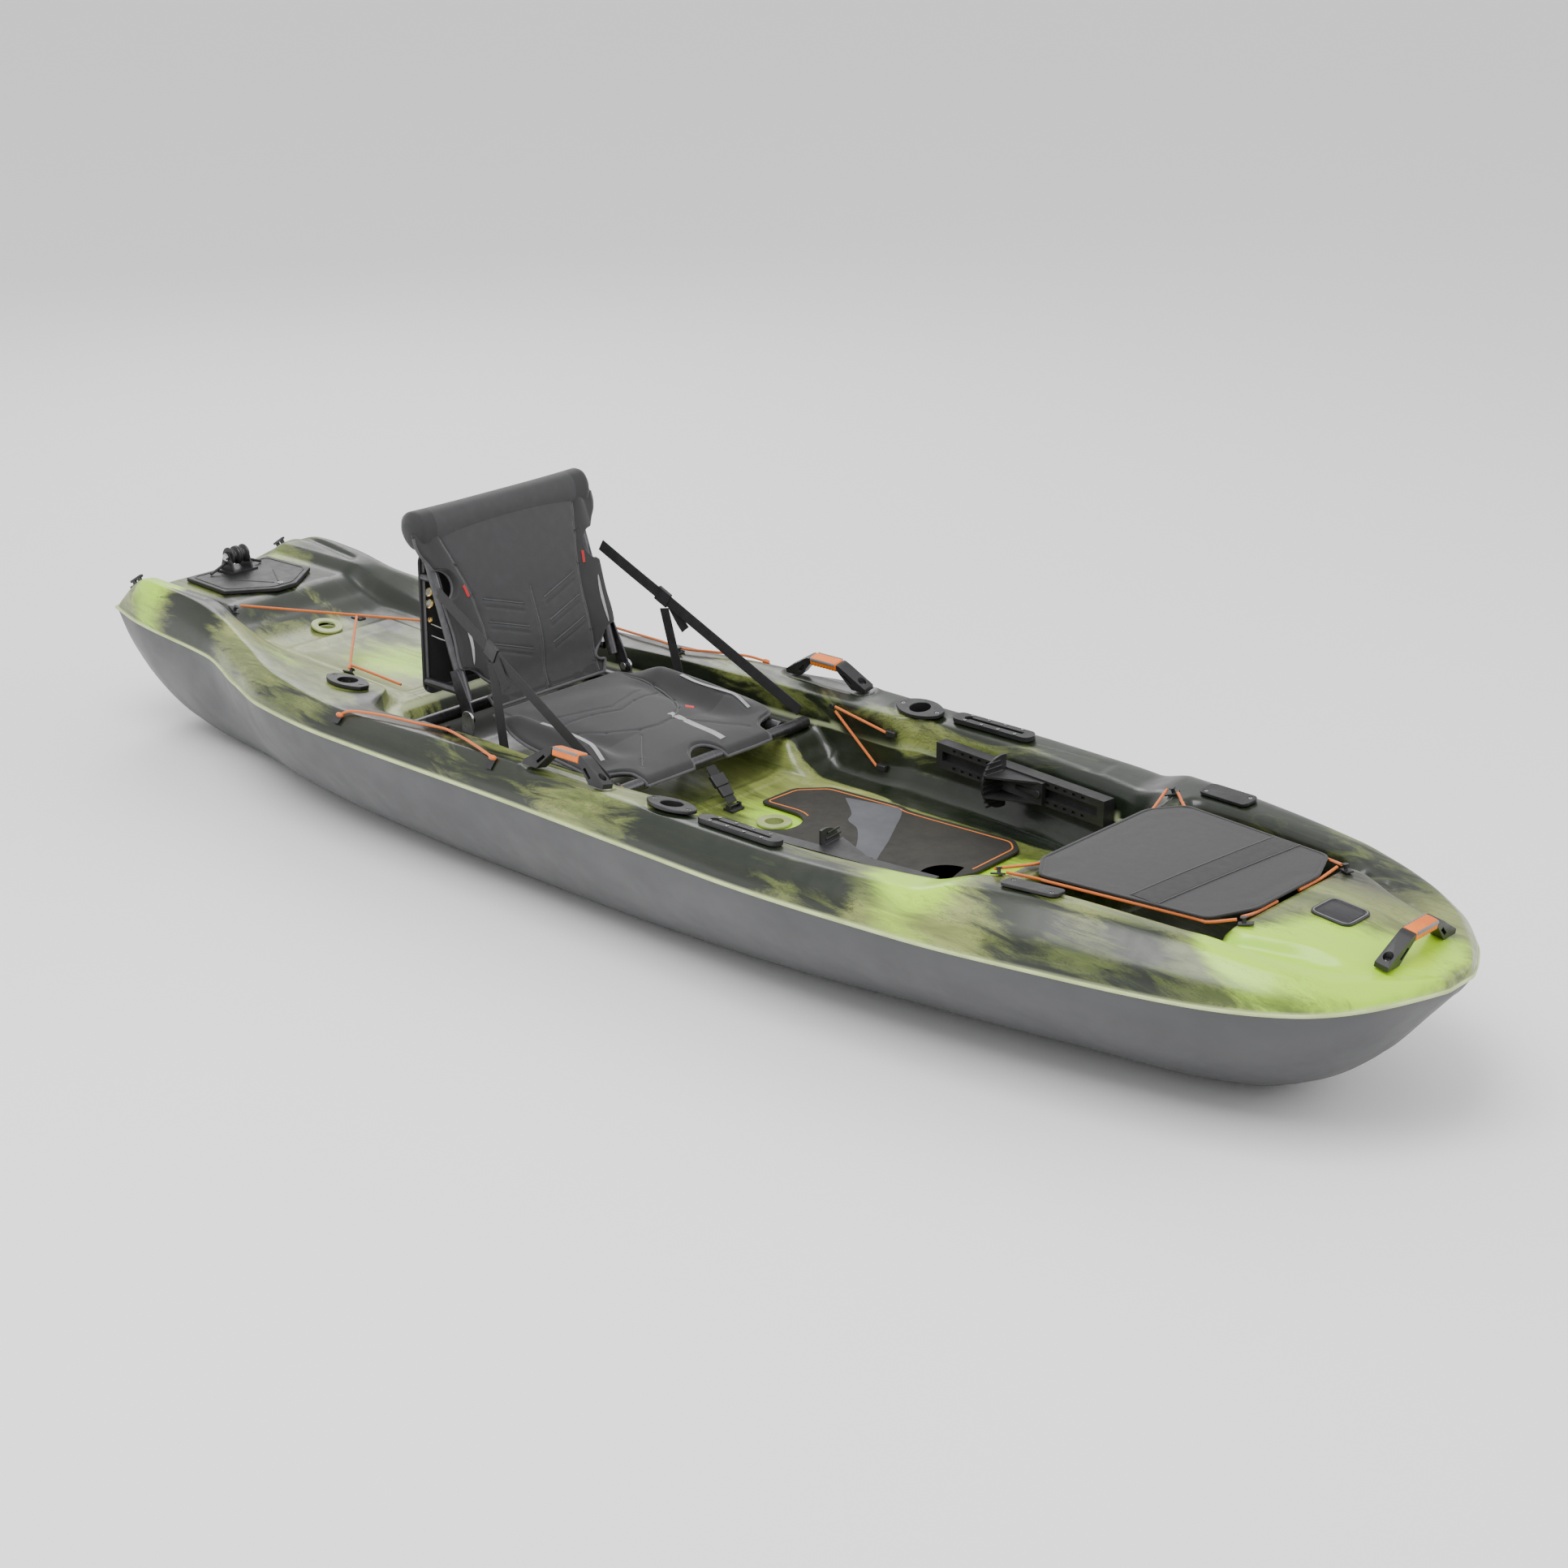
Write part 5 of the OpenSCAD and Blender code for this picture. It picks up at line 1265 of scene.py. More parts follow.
class Fittings:
    """All the fittings, and the small parts that the CAD leaves plain."""

    def build(self) -> None:
        """Dresses every fitting, then adds the details."""
        known = FRAME["nodes"]
        for item in FITTINGS:
            if item.node not in known:
                LOG.warning("no node %s", item.node)
                continue
            piece = refined(item.node, f"{item.node}_form", item.bevel, item.segments)
            for point in piece.data.vertices if item.sink else ():
                point.co.z -= item.sink
            DRESS.dress(piece, item.look, item.body, item.node)
        self.grips()
        self.badge()
        self.painted_screw_slot_shade()
        self.pedal_ribs()
        self.roller_hubs()
        self.stern_crease()

    def tag(self, name: str, place: Placement, outline: Array, low: float, high: float,
            look: Look, body: str = BOAT, edge: float = 0.0006) -> None:
        """Adds a small plate with rounded edges in a fitting's own frame."""
        skin = Skin()
        slab(skin, outline, low, high, edge)
        skin.points = [place.out(p) for p in skin.points]
        DRESS.dress(skin.piece(name, sharp=50), look, body)

    def grips(self) -> None:
        """Ribbed orange grips on the handles, with a grey edge each side."""
        half = 0.0346
        for name, places, node in (
                ("side_grip", (SIDE_HANDLE, SIDE_HANDLE.mirror()), "side_grips"),
                ("bow_grip", (BOW_HANDLE,), "bow_grip")):
            core, rim = Skin(), Skin()
            reach = GRIP_REACH * MM
            low, high = reach - 0.0028, reach + 0.0158
            for place in places:
                run = np.linspace(-half, half, 141)
                rib = 1 + 0.035 * np.cos(run / half * math.pi * 9) * smooth(np.abs(run), half,
                                                                          half * 0.86)
                rib = rib * np.sqrt(np.clip(1 - np.clip((np.abs(run) - half + 0.003) / 0.003, 0, 1)
                                            **2 * 0.45, 0, 1))
                path = place.out(np.column_stack([run, 0 * run, 0 * run + (low + high) / 2]))
                sweep(core, path, lozenge(0.027, high - low, 4.5, 28),
                      side=place.turn(np.array([0, 1.0, 0])), scale=rib)
                for s in (1, -1):
                    edge = place.out(np.column_stack([run[6:-6], 0 * run[6:-6] + s * 0.0128,
                                                      0 * run[6:-6] + high - 0.0035]))
                    sweep(rim, edge, lozenge(0.0032, 0.006, 3, 10))
            DRESS.dress(core.piece(f"{name}_rubber", sharp=60), Look.GRIP, BOAT, node)
            wear(rim, f"{name}_edging", Look.GRIP_EDGE)

    def badge(self) -> None:
        """A pale rounded rim and a shallow blank field on the bow badge."""
        square = rounded_outline(((-1, -1), (1, -1), (1, 1), (-1, 1)), 0.42, 9)
        path = BADGE.out(np.column_stack([square * 0.0352, np.full(len(square), 0.0052)]))
        skin = Skin()
        sweep(skin, path, lozenge(0.0022, 0.0016, 3, 8), closed=True)
        wear(skin, "badge_rim", Look.GRIP_EDGE)
        self.tag("badge_field", BADGE, square * 0.031, 0.0028, 0.0040, Look.PLATE)

    def painted_screw_slot_shade(self) -> None:
        """A dark four-armed cross on every screw head: a thin black plate that paints the shade
        inside the cross recess.
        """
        arm, wide = 1.0, 0.28
        cross = np.array(((arm, wide), (wide, wide), (wide, arm), (-wide, arm), (-wide, wide),
                          (-arm, wide), (-arm, -wide), (-wide, -wide), (-wide, -arm),
                          (wide, -arm), (wide, -wide), (arm, -wide)))
        skin = Skin()
        for place, top, size, spots in SCREWS:
            for x, y in spots:
                part = Skin()
                slab(part, cross * size, 0.0, 0.00035, 0.0001)
                for p, uv in zip(part.points, part.uvs):
                    skin.points.append(place.out(p + np.array([x, y, top]) * MM))
                    skin.uvs.append(uv)
                skin.faces += [f + skin.total for f in part.faces]
                skin.total += part.total
        # Painted shade: black crosses laid on the steel heads in place of the shadowed recesses.
        DRESS.dress(skin.piece("screw_slot_painted_shade"), Look.NYLON, BOAT)

    def pedal_ribs(self) -> None:
        """Raised grip bars across each foot plate."""
        for side, body in ((1, "pedal_left"), (-1, "pedal_right")):
            place = FOOT if side > 0 else FOOT.mirror()
            skin = Skin()
            for k in range(-4, 5):
                z = k * 10.5
                wide = math.sqrt(max(0.0, 1 - (z / 56.0)**2)) * 27
                run = np.linspace(-wide, wide, 9)
                middle = -28.4 - 33 - 2
                path = np.column_stack([0 * run - 29.6, run + middle, 0 * run + z]) * MM
                sweep(skin, place.out(path), lozenge(0.0042, 0.003, 3, 10),
                      side=place.turn(np.array([0, 0, 1.0])))
            DRESS.dress(skin.piece(f"{body}_ribs", sharp=60), Look.NYLON, body)

    def roller_hubs(self) -> None:
        """Washers and nuts on the ends of the stern axle."""
        skin = Skin()
        hexagon = circle(0.0068, 6)
        for s in (1, -1):
            for r, a, b in ((hexagon, 0.0295, 0.0325), (circle(0.0085, 24), 0.0278, 0.0292)):
                path = ROLLER.out(np.array([[0, s * a, 0.034], [0, s * b, 0.034]]))
                sweep(skin, path, r, side=ROLLER.turn(np.array([1.0, 0, 0])))
        wear(skin, "roller_nuts", Look.STEEL, BOAT, sharp=30)

    def stern_crease(self) -> None:
        """A raised border and centre rib on the stern plate."""
        skin = Skin()
        shape = rounded_outline(((-76, -101), (47, -108), (106, -24), (106, 24), (47, 108),
                                 (-76, 101)), 14, 6) * MM
        path = STERN.out(np.column_stack([shape, np.full(len(shape), 0.0092)]))
        sweep(skin, path, lozenge(0.004, 0.0024, 3, 10), closed=True)
        for y in (-1, 1):
            run = np.linspace(0.004, 0.082, 12)
            line = np.column_stack([run, y * (0.006 + 0.62 * (0.082 - run)), 0 * run + 0.0091])
            sweep(skin, STERN.out(line), lozenge(0.0034, 0.002, 3, 8))
        wear(skin, "stern_plate_ribs", Look.NYLON)


# ---------------------------------------------------------------- cords and webbing


@dataclass
class Cords:
    """Orange stretch cord on the deck, along the routes that the CAD gives it."""

    radius: float = 0.0027

    def lay(self, name: str, node: str, *routes: Array, parts: int = 9) -> None:
        """Lays cord along each route, given in mm."""
        skin = Skin()
        for route in routes:
            path = spline(np.asarray(route, float), parts) * MM
            sweep(skin, path, circle(self.radius, 12))
        DRESS.dress(skin.piece(name, sharp=70), Look.CORD, BOAT, node)

    def knots(self) -> None:
        """A round stopper knot where each cord ends in a tab or hook."""
        skin = Skin()
        spots = [over_deck(x, y, 7) for x, y in ((-668, 374), (-224, 380))]
        for spot in mirrored(*[s[None] for s in spots]):
            run = np.linspace(-1, 1, 11)
            path = spot + np.column_stack([run * 8, 0 * run, 0 * run])
            sweep(skin, path * MM, circle(0.0052, 14), scale=0.55 + 0.45 * np.sqrt(1 - run**2))
        wear(skin, "cord_knots", Look.CORD, BOAT, sharp=70)

    def build(self) -> None:
        """Lays every cord."""
        park = ((-668, 374), (-645, 362), (-570, 348), (-480, 340), (-412, 330), (-340, 348),
                (-270, 370), (-224, 380))
        park = np.array([over_deck(x, y, 7.5) for x, y in park])
        self.lay("paddle_cords", "paddle_bungees", *mirrored(park))
        a = over_deck(-1262, -160, 16) + [16, 8, 0]
        b = over_deck(-862, 186, 16) + [-14, -6, 0]
        middle = (a + b) / 2
        near = over_deck(-862, -186, 16) + [-4, 12, 0]
        end = over_deck(-742, -150, 24)
        self.lay("tank_cords", "tank_bungee", np.array([a, middle, b]),
                 np.array([middle + [4, -8, 0], near - [2, 1, 0], near + [8, 0, 0], end]))
        hook, clips = (24, 296), ((178, 276), (160, 204))
        wall = []
        for x, z in clips:
            start = np.array([hook[0] + 8, wall_half(*hook) - 9, hook[1] - (9 if z < 250 else 0)])
            stop = np.array([x - 10, wall_half(x, z) - 9, z])
            wall.append(np.array([start, (start + stop) / 2, stop]))
        self.lay("wall_cords", "wall_bungees", *mirrored(*wall))
        self.knots()


@dataclass
class Cover:
    """Cloth cover held stretched over the bow well, with its edge cord."""

    thickness: float = 0.0042
    top: float = 0.3428

    def outline(self) -> Array:
        """The cover's plan outline in metres."""
        half = ((884, 150), (926, 212), (1236, 178), (1272, 92))
        loop = [*half, *[(x, -y) for x, y in reversed(half)]]
        return rounded_outline(np.array(loop, float) * MM, 0.014, 10)

    def lift(self, p: Array) -> Array:
        """Height of the cloth: it sags a little between its edges and ripples near its cord.

        The sag is the product of two parabolas; the ripples are a sine along the edge that
        fades inwards.
        """
        u = (p[..., 0] - 1.078) / 0.194
        v = p[..., 1] / 0.205
        edge = np.clip(np.maximum(np.abs(u), np.abs(v)), 0, 1)
        ripple = 0.0006 * np.sin(p[..., 0] * 140) * np.sin(p[..., 1] * 95 + 1) * edge**4
        return 0.0022 * np.clip(1 - u**2, 0, 1) * np.clip(1 - v**2, 0, 1) + ripple

    def sheet(self) -> bpy.types.Object:
        """The cloth: rings of the outline shrunk to the middle, above and below."""
        edge = self.outline()
        middle = np.array([[1.078, 0.0]])
        shrink = np.concatenate([np.linspace(1, 0.94, 5), np.linspace(0.9, 0.02, 30)])
        rings = middle + (edge[None] - middle) * shrink[:, None, None]
        top = np.concatenate([rings, np.full((*rings.shape[:2], 1), self.top)], -1)
        top[..., 2] += self.lift(top) - 0.0012 * (shrink[:, None] > 0.985)
        low = top.copy()
        low[..., 2] -= 0.0016
        skin = Skin()
        skin.grid(np.concatenate([low[::-1], top]), np.concatenate([rings[::-1], rings]),
                  wrap=True)
        skin.fan(top[-1], flip=True)
        skin.fan(low[-1])
        piece = skin.piece("bow_cover_cloth", weld=2e-6, sharp=70)
        return piece

    def strip(self, name: str, path: Array, width: float, look: Look, high: float) -> None:
        """A flat band on the cloth along a plan path."""
        pts = np.column_stack([path, np.zeros(len(path))])
        pts[:, 2] = self.top + self.lift(pts) + high
        skin = Skin()
        sweep(skin, pts, lozenge(width, 0.0012, 4, 16))
        DRESS.dress(skin.piece(name, sharp=60), look, BOAT)

    def build(self, cords: Cords) -> None:
        """Makes the cloth, its bands, its bound edge and its cord."""
        cloth = self.sheet()
        DRESS.dress(cloth, Look.COVER, BOAT, "bow_cover")
        band = np.stack([np.linspace(1.118, 1.150, 40), np.linspace(-0.186, 0.186, 40)], 1)
        self.strip("cover_band", band, 0.052, Look.COVER_BAND, 0.0004)
        for name, off in (("cover_band_stitch_a", -0.0275), ("cover_band_stitch_b", 0.0275)):
            self.strip(name, band + [off, 0], 0.0018, Look.BINDING, 0.0011)
        edge = self.outline()
        loop = np.column_stack([edge, np.full(len(edge), self.top - 0.0012)])
        skin = Skin()
        sweep(skin, even(np.vstack([loop, loop[:1]]), 240)[:-1], lozenge(0.0075, 0.0042, 3, 14),
              closed=True)
        wear(skin, "cover_hem", Look.COVER_TRIM)
        z = 338.5 - 2.5 - 0.6
        rear, front = over_deck(868, 252, 8), over_deck(1292, 150, 8)
        rim = np.array([(x, y, z) for x, y in ((884, 150), (926, 212), (1236, 178), (1272, 92))])
        routes = (
            np.array([rim[0] + [5, -60, 0], rim[0] + [3, 2, 0], rear + [-10, -4, 0]]),
            np.array([rear + [14, -4, 0], rim[1] + [-2, 4, 0], rim[1] + [40, 0, 0],
                      rim[2] + [-30, 4, 0], rim[2] + [0, 2, 0], front + [-14, 6, 0]]),
            np.array([front + [-14, -8, 0], rim[3] + [2, 3, 0], rim[3] + [2, -60, 0]]))
        cords.lay("cover_cords", "bow_cover_bungee", *mirrored(*routes), parts=7)


@dataclass
class FloorPad:
    """Foam deck pad with bevelled edges, an inset orange line and a grey band."""

    low: float = 0.168
    high: float = 0.174

    def outline(self) -> Array:
        """Plan outline with its notches round the scuppers, in mm."""
        half = ((56, 60), (56, 150), (108, 204), (276, 216), (300, 208), (350, 209), (546, 220),
                (582, 186), (588, 60))
        turn = np.radians(np.linspace(-90, 90, 15))
        rear = [(140 + 54 * math.cos(a), 54 * math.sin(a)) for a in turn]
        front = [(560 - 54 * math.cos(a), -54 * math.sin(a)) for a in turn]
        port, star = half[1:8], [(x, -y) for x, y in half[1:8]]
        loop = [(56, 54), *port, (588, 54), *front[::-1], (588, -54), *star[::-1], (56, -54),
                *rear]
        return np.array(loop, float)

    def build(self) -> None:
        """Makes the foam, the line and the band."""
        shape = rounded_outline(self.outline() * MM, 0.012, 5)
        skin = Skin()
        slab(skin, shape, self.low, self.high, 0.0018)
        pad = skin.piece("pad_foam_sheet", weld=0, sharp=50)
        DRESS.dress(pad, Look.PAD, BOAT, "floor_pad")
        inner = rounded_outline(outline_inset(self.outline(), 13) * MM, 0.012, 5)
        for s in (1, -1):
            side = inner[inner[:, 1] * s > 0.055]
            side = side[np.argsort(np.arctan2(side[:, 1] * s - 0.11, side[:, 0] - 0.32))]
            gap = np.argmax(np.linalg.norm(np.diff(np.vstack([side, side[:1]]), axis=0), axis=1))
            side = np.roll(side, -(gap + 1), 0)
            line = np.column_stack([even(side, 200), np.full(200, self.high + 0.00015)])
            part = Skin()
            sweep(part, line, lozenge(0.0030, 0.0008, 3, 8))
            wear(part, f"pad_line_{'port' if s > 0 else 'starboard'}", Look.PAD_LINE)
        left = np.array(((0.166, 0.176), (0.228, 0.122), (0.248, 0.089), (0.29, 0.066),
                         (0.34, 0.006), (0.372, -0.05), (0.392, -0.090), (0.43, -0.156)))
        right = np.array(((0.286, 0.203), (0.31, 0.17), (0.338, 0.12), (0.372, 0.06),
                          (0.402, 0.0), (0.428, -0.05), (0.452, -0.10), (0.50, -0.196)))
        a, b = even(spline(left), 60), even(spline(right), 60)
        t = np.linspace(0, 1, 12)[None, :, None]
        plan = a[:, None] * (1 - t) + b[:, None] * t
        rim = np.abs(t * 2 - 1)**10
        z = np.broadcast_to(self.high + 0.0010 - 0.0008 * rim, (*plan.shape[:2], 1))
        g = np.concatenate([plan, z], -1)
        part = Skin()
        part.grid(g, plan, flip=bool(np.cross(b[30] - a[30], a[31] - a[30]) > 0))
        band = part.piece("pad_band", weld=0)
        DRESS.dress(band, Look.PAD_BAND, BOAT)


class Webbing:
    """Straps: flat woven tape along the CAD's routes, with a loose tail past each ladder lock."""

    def tape(self, name: str, node: str, runs: Sequence[tuple[Array, Array]], side: Array,
             width: float = 0.025, sag: float = 0.0, body: str = BOAT) -> bpy.types.Object:
        """Makes a tape between pairs of points in mm, with a slight sag."""
        skin = Skin()
        for a, b in runs:
            t = np.linspace(0, 1, 40)[:, None]
            path = (a + (b - a) * t) * MM
            path[:, 2:] -= sag * 4 * t * (1 - t)
            sweep(skin, path, lozenge(width, 0.0020, 6, 20), side=side)
        piece = skin.piece(name, sharp=60)
        DRESS.dress(piece, Look.WEBBING, body, node)
        return piece

    def build(self) -> None:
        """Makes the recline straps, the risers and the front strap."""
        top, low = np.array(STRAP_TOP), np.array((-32.0, 266, 282))
        lock, riser = np.array(LOCK_AT), np.array((-334.0, 247.5, 265))
        run = unit(low - top)
        up = np.array([0, 0, 1.0])
        for m, word in ((MIRROR**2, "port"), (MIRROR, "starboard")):
            runs = [(top * m, (lock - run * 17.3) * m), ((lock + run * 17.3) * m, low * m)]
            piece = self.tape(f"recline_tape_{word}", "recline_straps", runs, up, sag=0.0006,
                              body="")
            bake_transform(piece)
            self.tape(f"riser_tape_{word}", "side_straps",
                      [(riser * m, (lock + [2, 0.5, -24]) * m)], np.array([1.0, 0, 0]))
            tail = (lock + run * 20 + [0, 1.5, -6]) * m
            self.loose_end(f"strap_tail_{word}", tail, m)
        a, b = np.array((-25.5, 0, 240.5)), np.array((33.0, 0, 180.96))
        v = unit(b - a)
        start = 0.24 * np.linalg.norm(b - a)
        self.tape("front_tape", "front_strap",
                  [(a, a + v * (start - 0.3)), (a + v * (start + 48.6), b)],
                  np.array([0, 1.0, 0]))

    def loose_end(self, name: str, start: Array, m: Array) -> None:
        """The short tail of tape that hangs past a ladder lock."""
        t = np.linspace(0, 1, 24)
        path = np.column_stack([start[0] + 34 * t, start[1] + m[1] * (2 + 5 * t),
                                start[2] - 46 * t**1.3 - 6 * np.sin(3 * t)]) * MM
        skin = Skin()
        sweep(skin, path, lozenge(0.024, 0.0019, 6, 18), side=np.array([1.0, 0, 0.7]))
        wear(skin, name, Look.WEBBING)


# ---------------------------------------------------------------- seat


@dataclass
class SeatBack:
    """Padded backrest: a crowned panel with bound notches, seams and a thick top roll."""

    top: float = 372.0
    face: tuple = ((0, 4), (20, 4), (45, 6), (90, 15), (150, 20), (220, 20), (290, 17),
                   (340, 14), (372, 12))
    widths: tuple = ((0, 150), (35, 166), (75, 206), (110, 209), (160, 205), (225, 209),
                     (290, 212), (312, 222), (330, 234), (350, 239), (372, 239))
    notches: tuple = ((62.0, 34.0, 40.0), (262.0, 34.0, 34.0))
    hourglass: tuple = ((0, 144), (10, 142), (150, 138), (217, 144), (300, 165), (350, 180),
                        (372, 184))

    def out(self, p: Array) -> Array:
        """Points (forward, across, up along the back) in mm as points on the boat."""
        c, s = math.cos(math.radians(LEAN)), math.sin(math.radians(LEAN))
        x = HINGE[0] + p[..., 0] * c - p[..., 2] * s
        z = HINGE[1] + p[..., 0] * s + p[..., 2] * c
        return np.stack([x, p[..., 1], z], -1) * MM

    def half(self, h: Array) -> Array:
        """Half width at each height: the outline less a half round for each notch."""
        w = hermite(self.widths, h)
        for middle, radius, depth in self.notches:
            w = w - depth * np.sqrt(np.clip(1 - ((h - middle) / radius)**2, 0, 1))
        return w

    def front(self, y: Array, h: Array) -> Array:
        """Forward reach of the face over points of the back, in mm.

        The panel is crowned across as one minus a square, pinched along the seams by narrow
        bells, and has shallow folds that fan out from the seams.
        """
        base = hermite(self.face, h)
        seam = hermite(self.hourglass, h)
        ay = np.abs(y)
        inside = np.clip(1 - (ay / seam)**2, 0, 1)
        crown = 7.0 * np.sqrt(inside) * smooth(h, 50, 120)
        side = np.clip(1 - ((ay - (seam + 205) / 2) / ((205 - seam) / 2 + 6))**2, 0, 1)
        crown = crown + 5.0 * side * (ay > seam) * smooth(h, 50, 110)
        pinch = 3.2 * bump(ay - seam, 3.2)
        pinch = pinch + 2.6 * bump(ay, 2.6) * smooth(h, 222, 205)
        for low, more in ((185, 0), (170, 0), (138, 0), (125, 0), (93, 0), (80, 0)):
            line = low + 0.33 * (ay - 30)
            pinch = pinch + 2.0 * bump(h - line - more, 2.4) * smooth(ay, 24, 34) \
                * smooth(ay, 128, 118)
        folds = 0.5 * np.sin(h / 9.0 + y / 21.0) * np.sin(y / 13.0 + 2.0) * bump(ay - seam, 22)
        return base + crown - pinch + folds

    def panel(self) -> bpy.types.Object:
        """The main panel: face, rounded sides and flat back, as one closed skin."""
        h = np.linspace(2, self.top, 130)
        w = self.half(h)
        v = np.linspace(-1, 1, 150)
        roll = 5.5
        y = v[None] * w[:, None]
        hh = np.broadcast_to(h[:, None], y.shape)
        edge = np.clip((np.abs(y) - (w[:, None] - roll)) / roll, 0, 1)
        droop = np.sqrt(np.clip(1 - edge**2, 0, 1))
        reach = self.front(y, hh)
        back = 3.0
        face = np.stack([back + (reach - back) * (0.25 + 0.75 * droop), y, hh], -1)
        rear = np.stack([back + 0 * y - 2.0 * droop, y, hh], -1)[:, ::-1]
        ring = self.out(np.concatenate([face, rear], 1))
        flat = np.stack([y, hh], -1) * MM
        skin = Skin()
        skin.grid(ring, np.concatenate([flat, flat[:, ::-1]], 1), wrap=True)
        skin.fan(ring[0])
        skin.fan(ring[-1], flip=True)
        return skin.piece("seat_back_panel", weld=2e-6, sharp=80)

    def outside(self, piece: bpy.types.Object) -> Array:
        """Which faces lie outside the hourglass seams or on the back."""
        x, y, z = face_centres(piece).T
        c, s = math.cos(math.radians(LEAN)), math.sin(math.radians(LEAN))
        dx, dz = x - HINGE[0], z - HINGE[1]
        up, ahead = dz * c - dx * s, dx * c + dz * s
        return (np.abs(y) > hermite(self.hourglass, up)) | (ahead < 4)

    def roll(self) -> None:
        """The thick roll over the top, carried across the back with rounded ends."""
        y = np.linspace(-1, 1, 90)
        shape = spline(((12, 346), (22, 364), (26, 385), (20, 405), (3, 416), (-17, 416),
                        (-32, 406), (-39, 387), (-36, 365), (-25, 346), (-8, 338), (4, 339),
                        (12, 346)), 5)[:-1]
        middle = shape.mean(0)
        grow = (1 - 0.5 * np.clip((np.abs(y) - 0.93) / 0.07, 0, 1)**2.2)
        sag = 1 - 0.06 * (1 - np.abs(y)**3)
        ring = middle + (shape[None] - middle) * (grow * sag)[:, None, None]
        across = np.broadcast_to((y * 236)[:, None], ring.shape[:2])
        g = self.out(np.stack([ring[..., 0], across, ring[..., 1]], -1))
        around = np.linspace(0, 0.21, len(shape))
        uv = np.stack(np.meshgrid(around, y * 0.236), 2)
        skin = Skin()
        skin.grid(g, uv, wrap=True)
        skin.fan(g[0])
        skin.fan(g[-1], flip=True)
        piece = skin.piece("seat_back_roll", weld=2e-6, sharp=80)
        DRESS.dress(piece, Look.SEAT, BACK)
        DRESS.second(piece, Look.SEAT_SIDE, np.abs(face_centres(piece)[:, 1]) > 186)

    def trims(self) -> None:
        """Binding round the edge, piping along the seams, pale slivers of painted highlight on the
        side panels, and a tag.
        """
        h = np.linspace(4, self.top - 8, 260)
        w = self.half(h)
        skin, pipe, pale, red = Skin(), Skin(), Skin(), Skin()
        for s in (1, -1):
            edge = np.column_stack([0 * h + 7.0, s * (w + 0.5), h])
            sweep(skin, even(self.out(edge), 260), circle(0.0030, 10))
            hs = np.linspace(8, self.top - 4, 120)
            ys = hermite(self.hourglass, hs) * s
            seam = np.column_stack([self.front(ys, hs) + 1.4, ys, hs])
            sweep(pipe, self.out(seam), circle(0.0017, 8))
            # Painted highlight: a pale tapered sliver on each side panel, where the light catches
            # the curved cloth.
            hp = np.linspace(98, 196, 40)
            yp = s * (186 - 5 * np.sin((hp - 98) / 98 * math.pi))
            sliver = np.column_stack([self.front(yp, hp) + 0.9, yp, hp])
            sweep(pale, self.out(sliver), lozenge(0.0075, 0.0014, 4, 10),
                  scale=np.sqrt(np.clip(1 - np.linspace(-1, 1, 40)**2, 0.02, 1)),
                  side=np.array([0, 1.0, 0]))
            hr = np.linspace(228, 252, 12)
            yr = s * (hermite(self.hourglass, hr) + 12)
            tag = np.column_stack([self.front(yr, hr) + 1.0, yr, hr])
            sweep(red, self.out(tag), lozenge(0.007, 0.0014, 4, 10), side=np.array([0, 1.0, 0]))
        base = np.column_stack([0 * w[:60] + 6, np.linspace(-150, 150, 60), 0 * w[:60] + 3])
        sweep(skin, self.out(base), circle(0.0030, 10))
        spine = np.linspace(12, 214, 60)
        line = np.column_stack([self.front(0 * spine, spine) + 1.2, 0 * spine, spine])
        sweep(pipe, self.out(line), circle(0.0015, 8))
        for low in (185, 138, 93):
            for s in (1, -1):
                run = np.linspace(28, 124, 30)
                up = low + 0.33 * (run - 30)
                line = np.column_stack([self.front(run, up) + 1.0, s * run, up])
                sweep(pipe, self.out(line), circle(0.0012, 8))
        wear(skin, "seat_back_binding", Look.BINDING, BACK, sharp=80)
        wear(pipe, "seat_back_piping", Look.BINDING, BACK, sharp=80)
        wear(pale, "seat_back_painted_highlights", Look.PAINTED_HIGHLIGHT, BACK, sharp=80)
        wear(red, "seat_back_tags", Look.RED_TRIM, BACK, sharp=80)

    def build(self) -> None:
        """Makes the panel, the roll and the trims."""
        panel = self.panel()
        DRESS.dress(panel, Look.SEAT, BACK, "back_sling")
        DRESS.second(panel, Look.SEAT_SIDE, self.outside(panel))
        self.roll()
        self.trims()


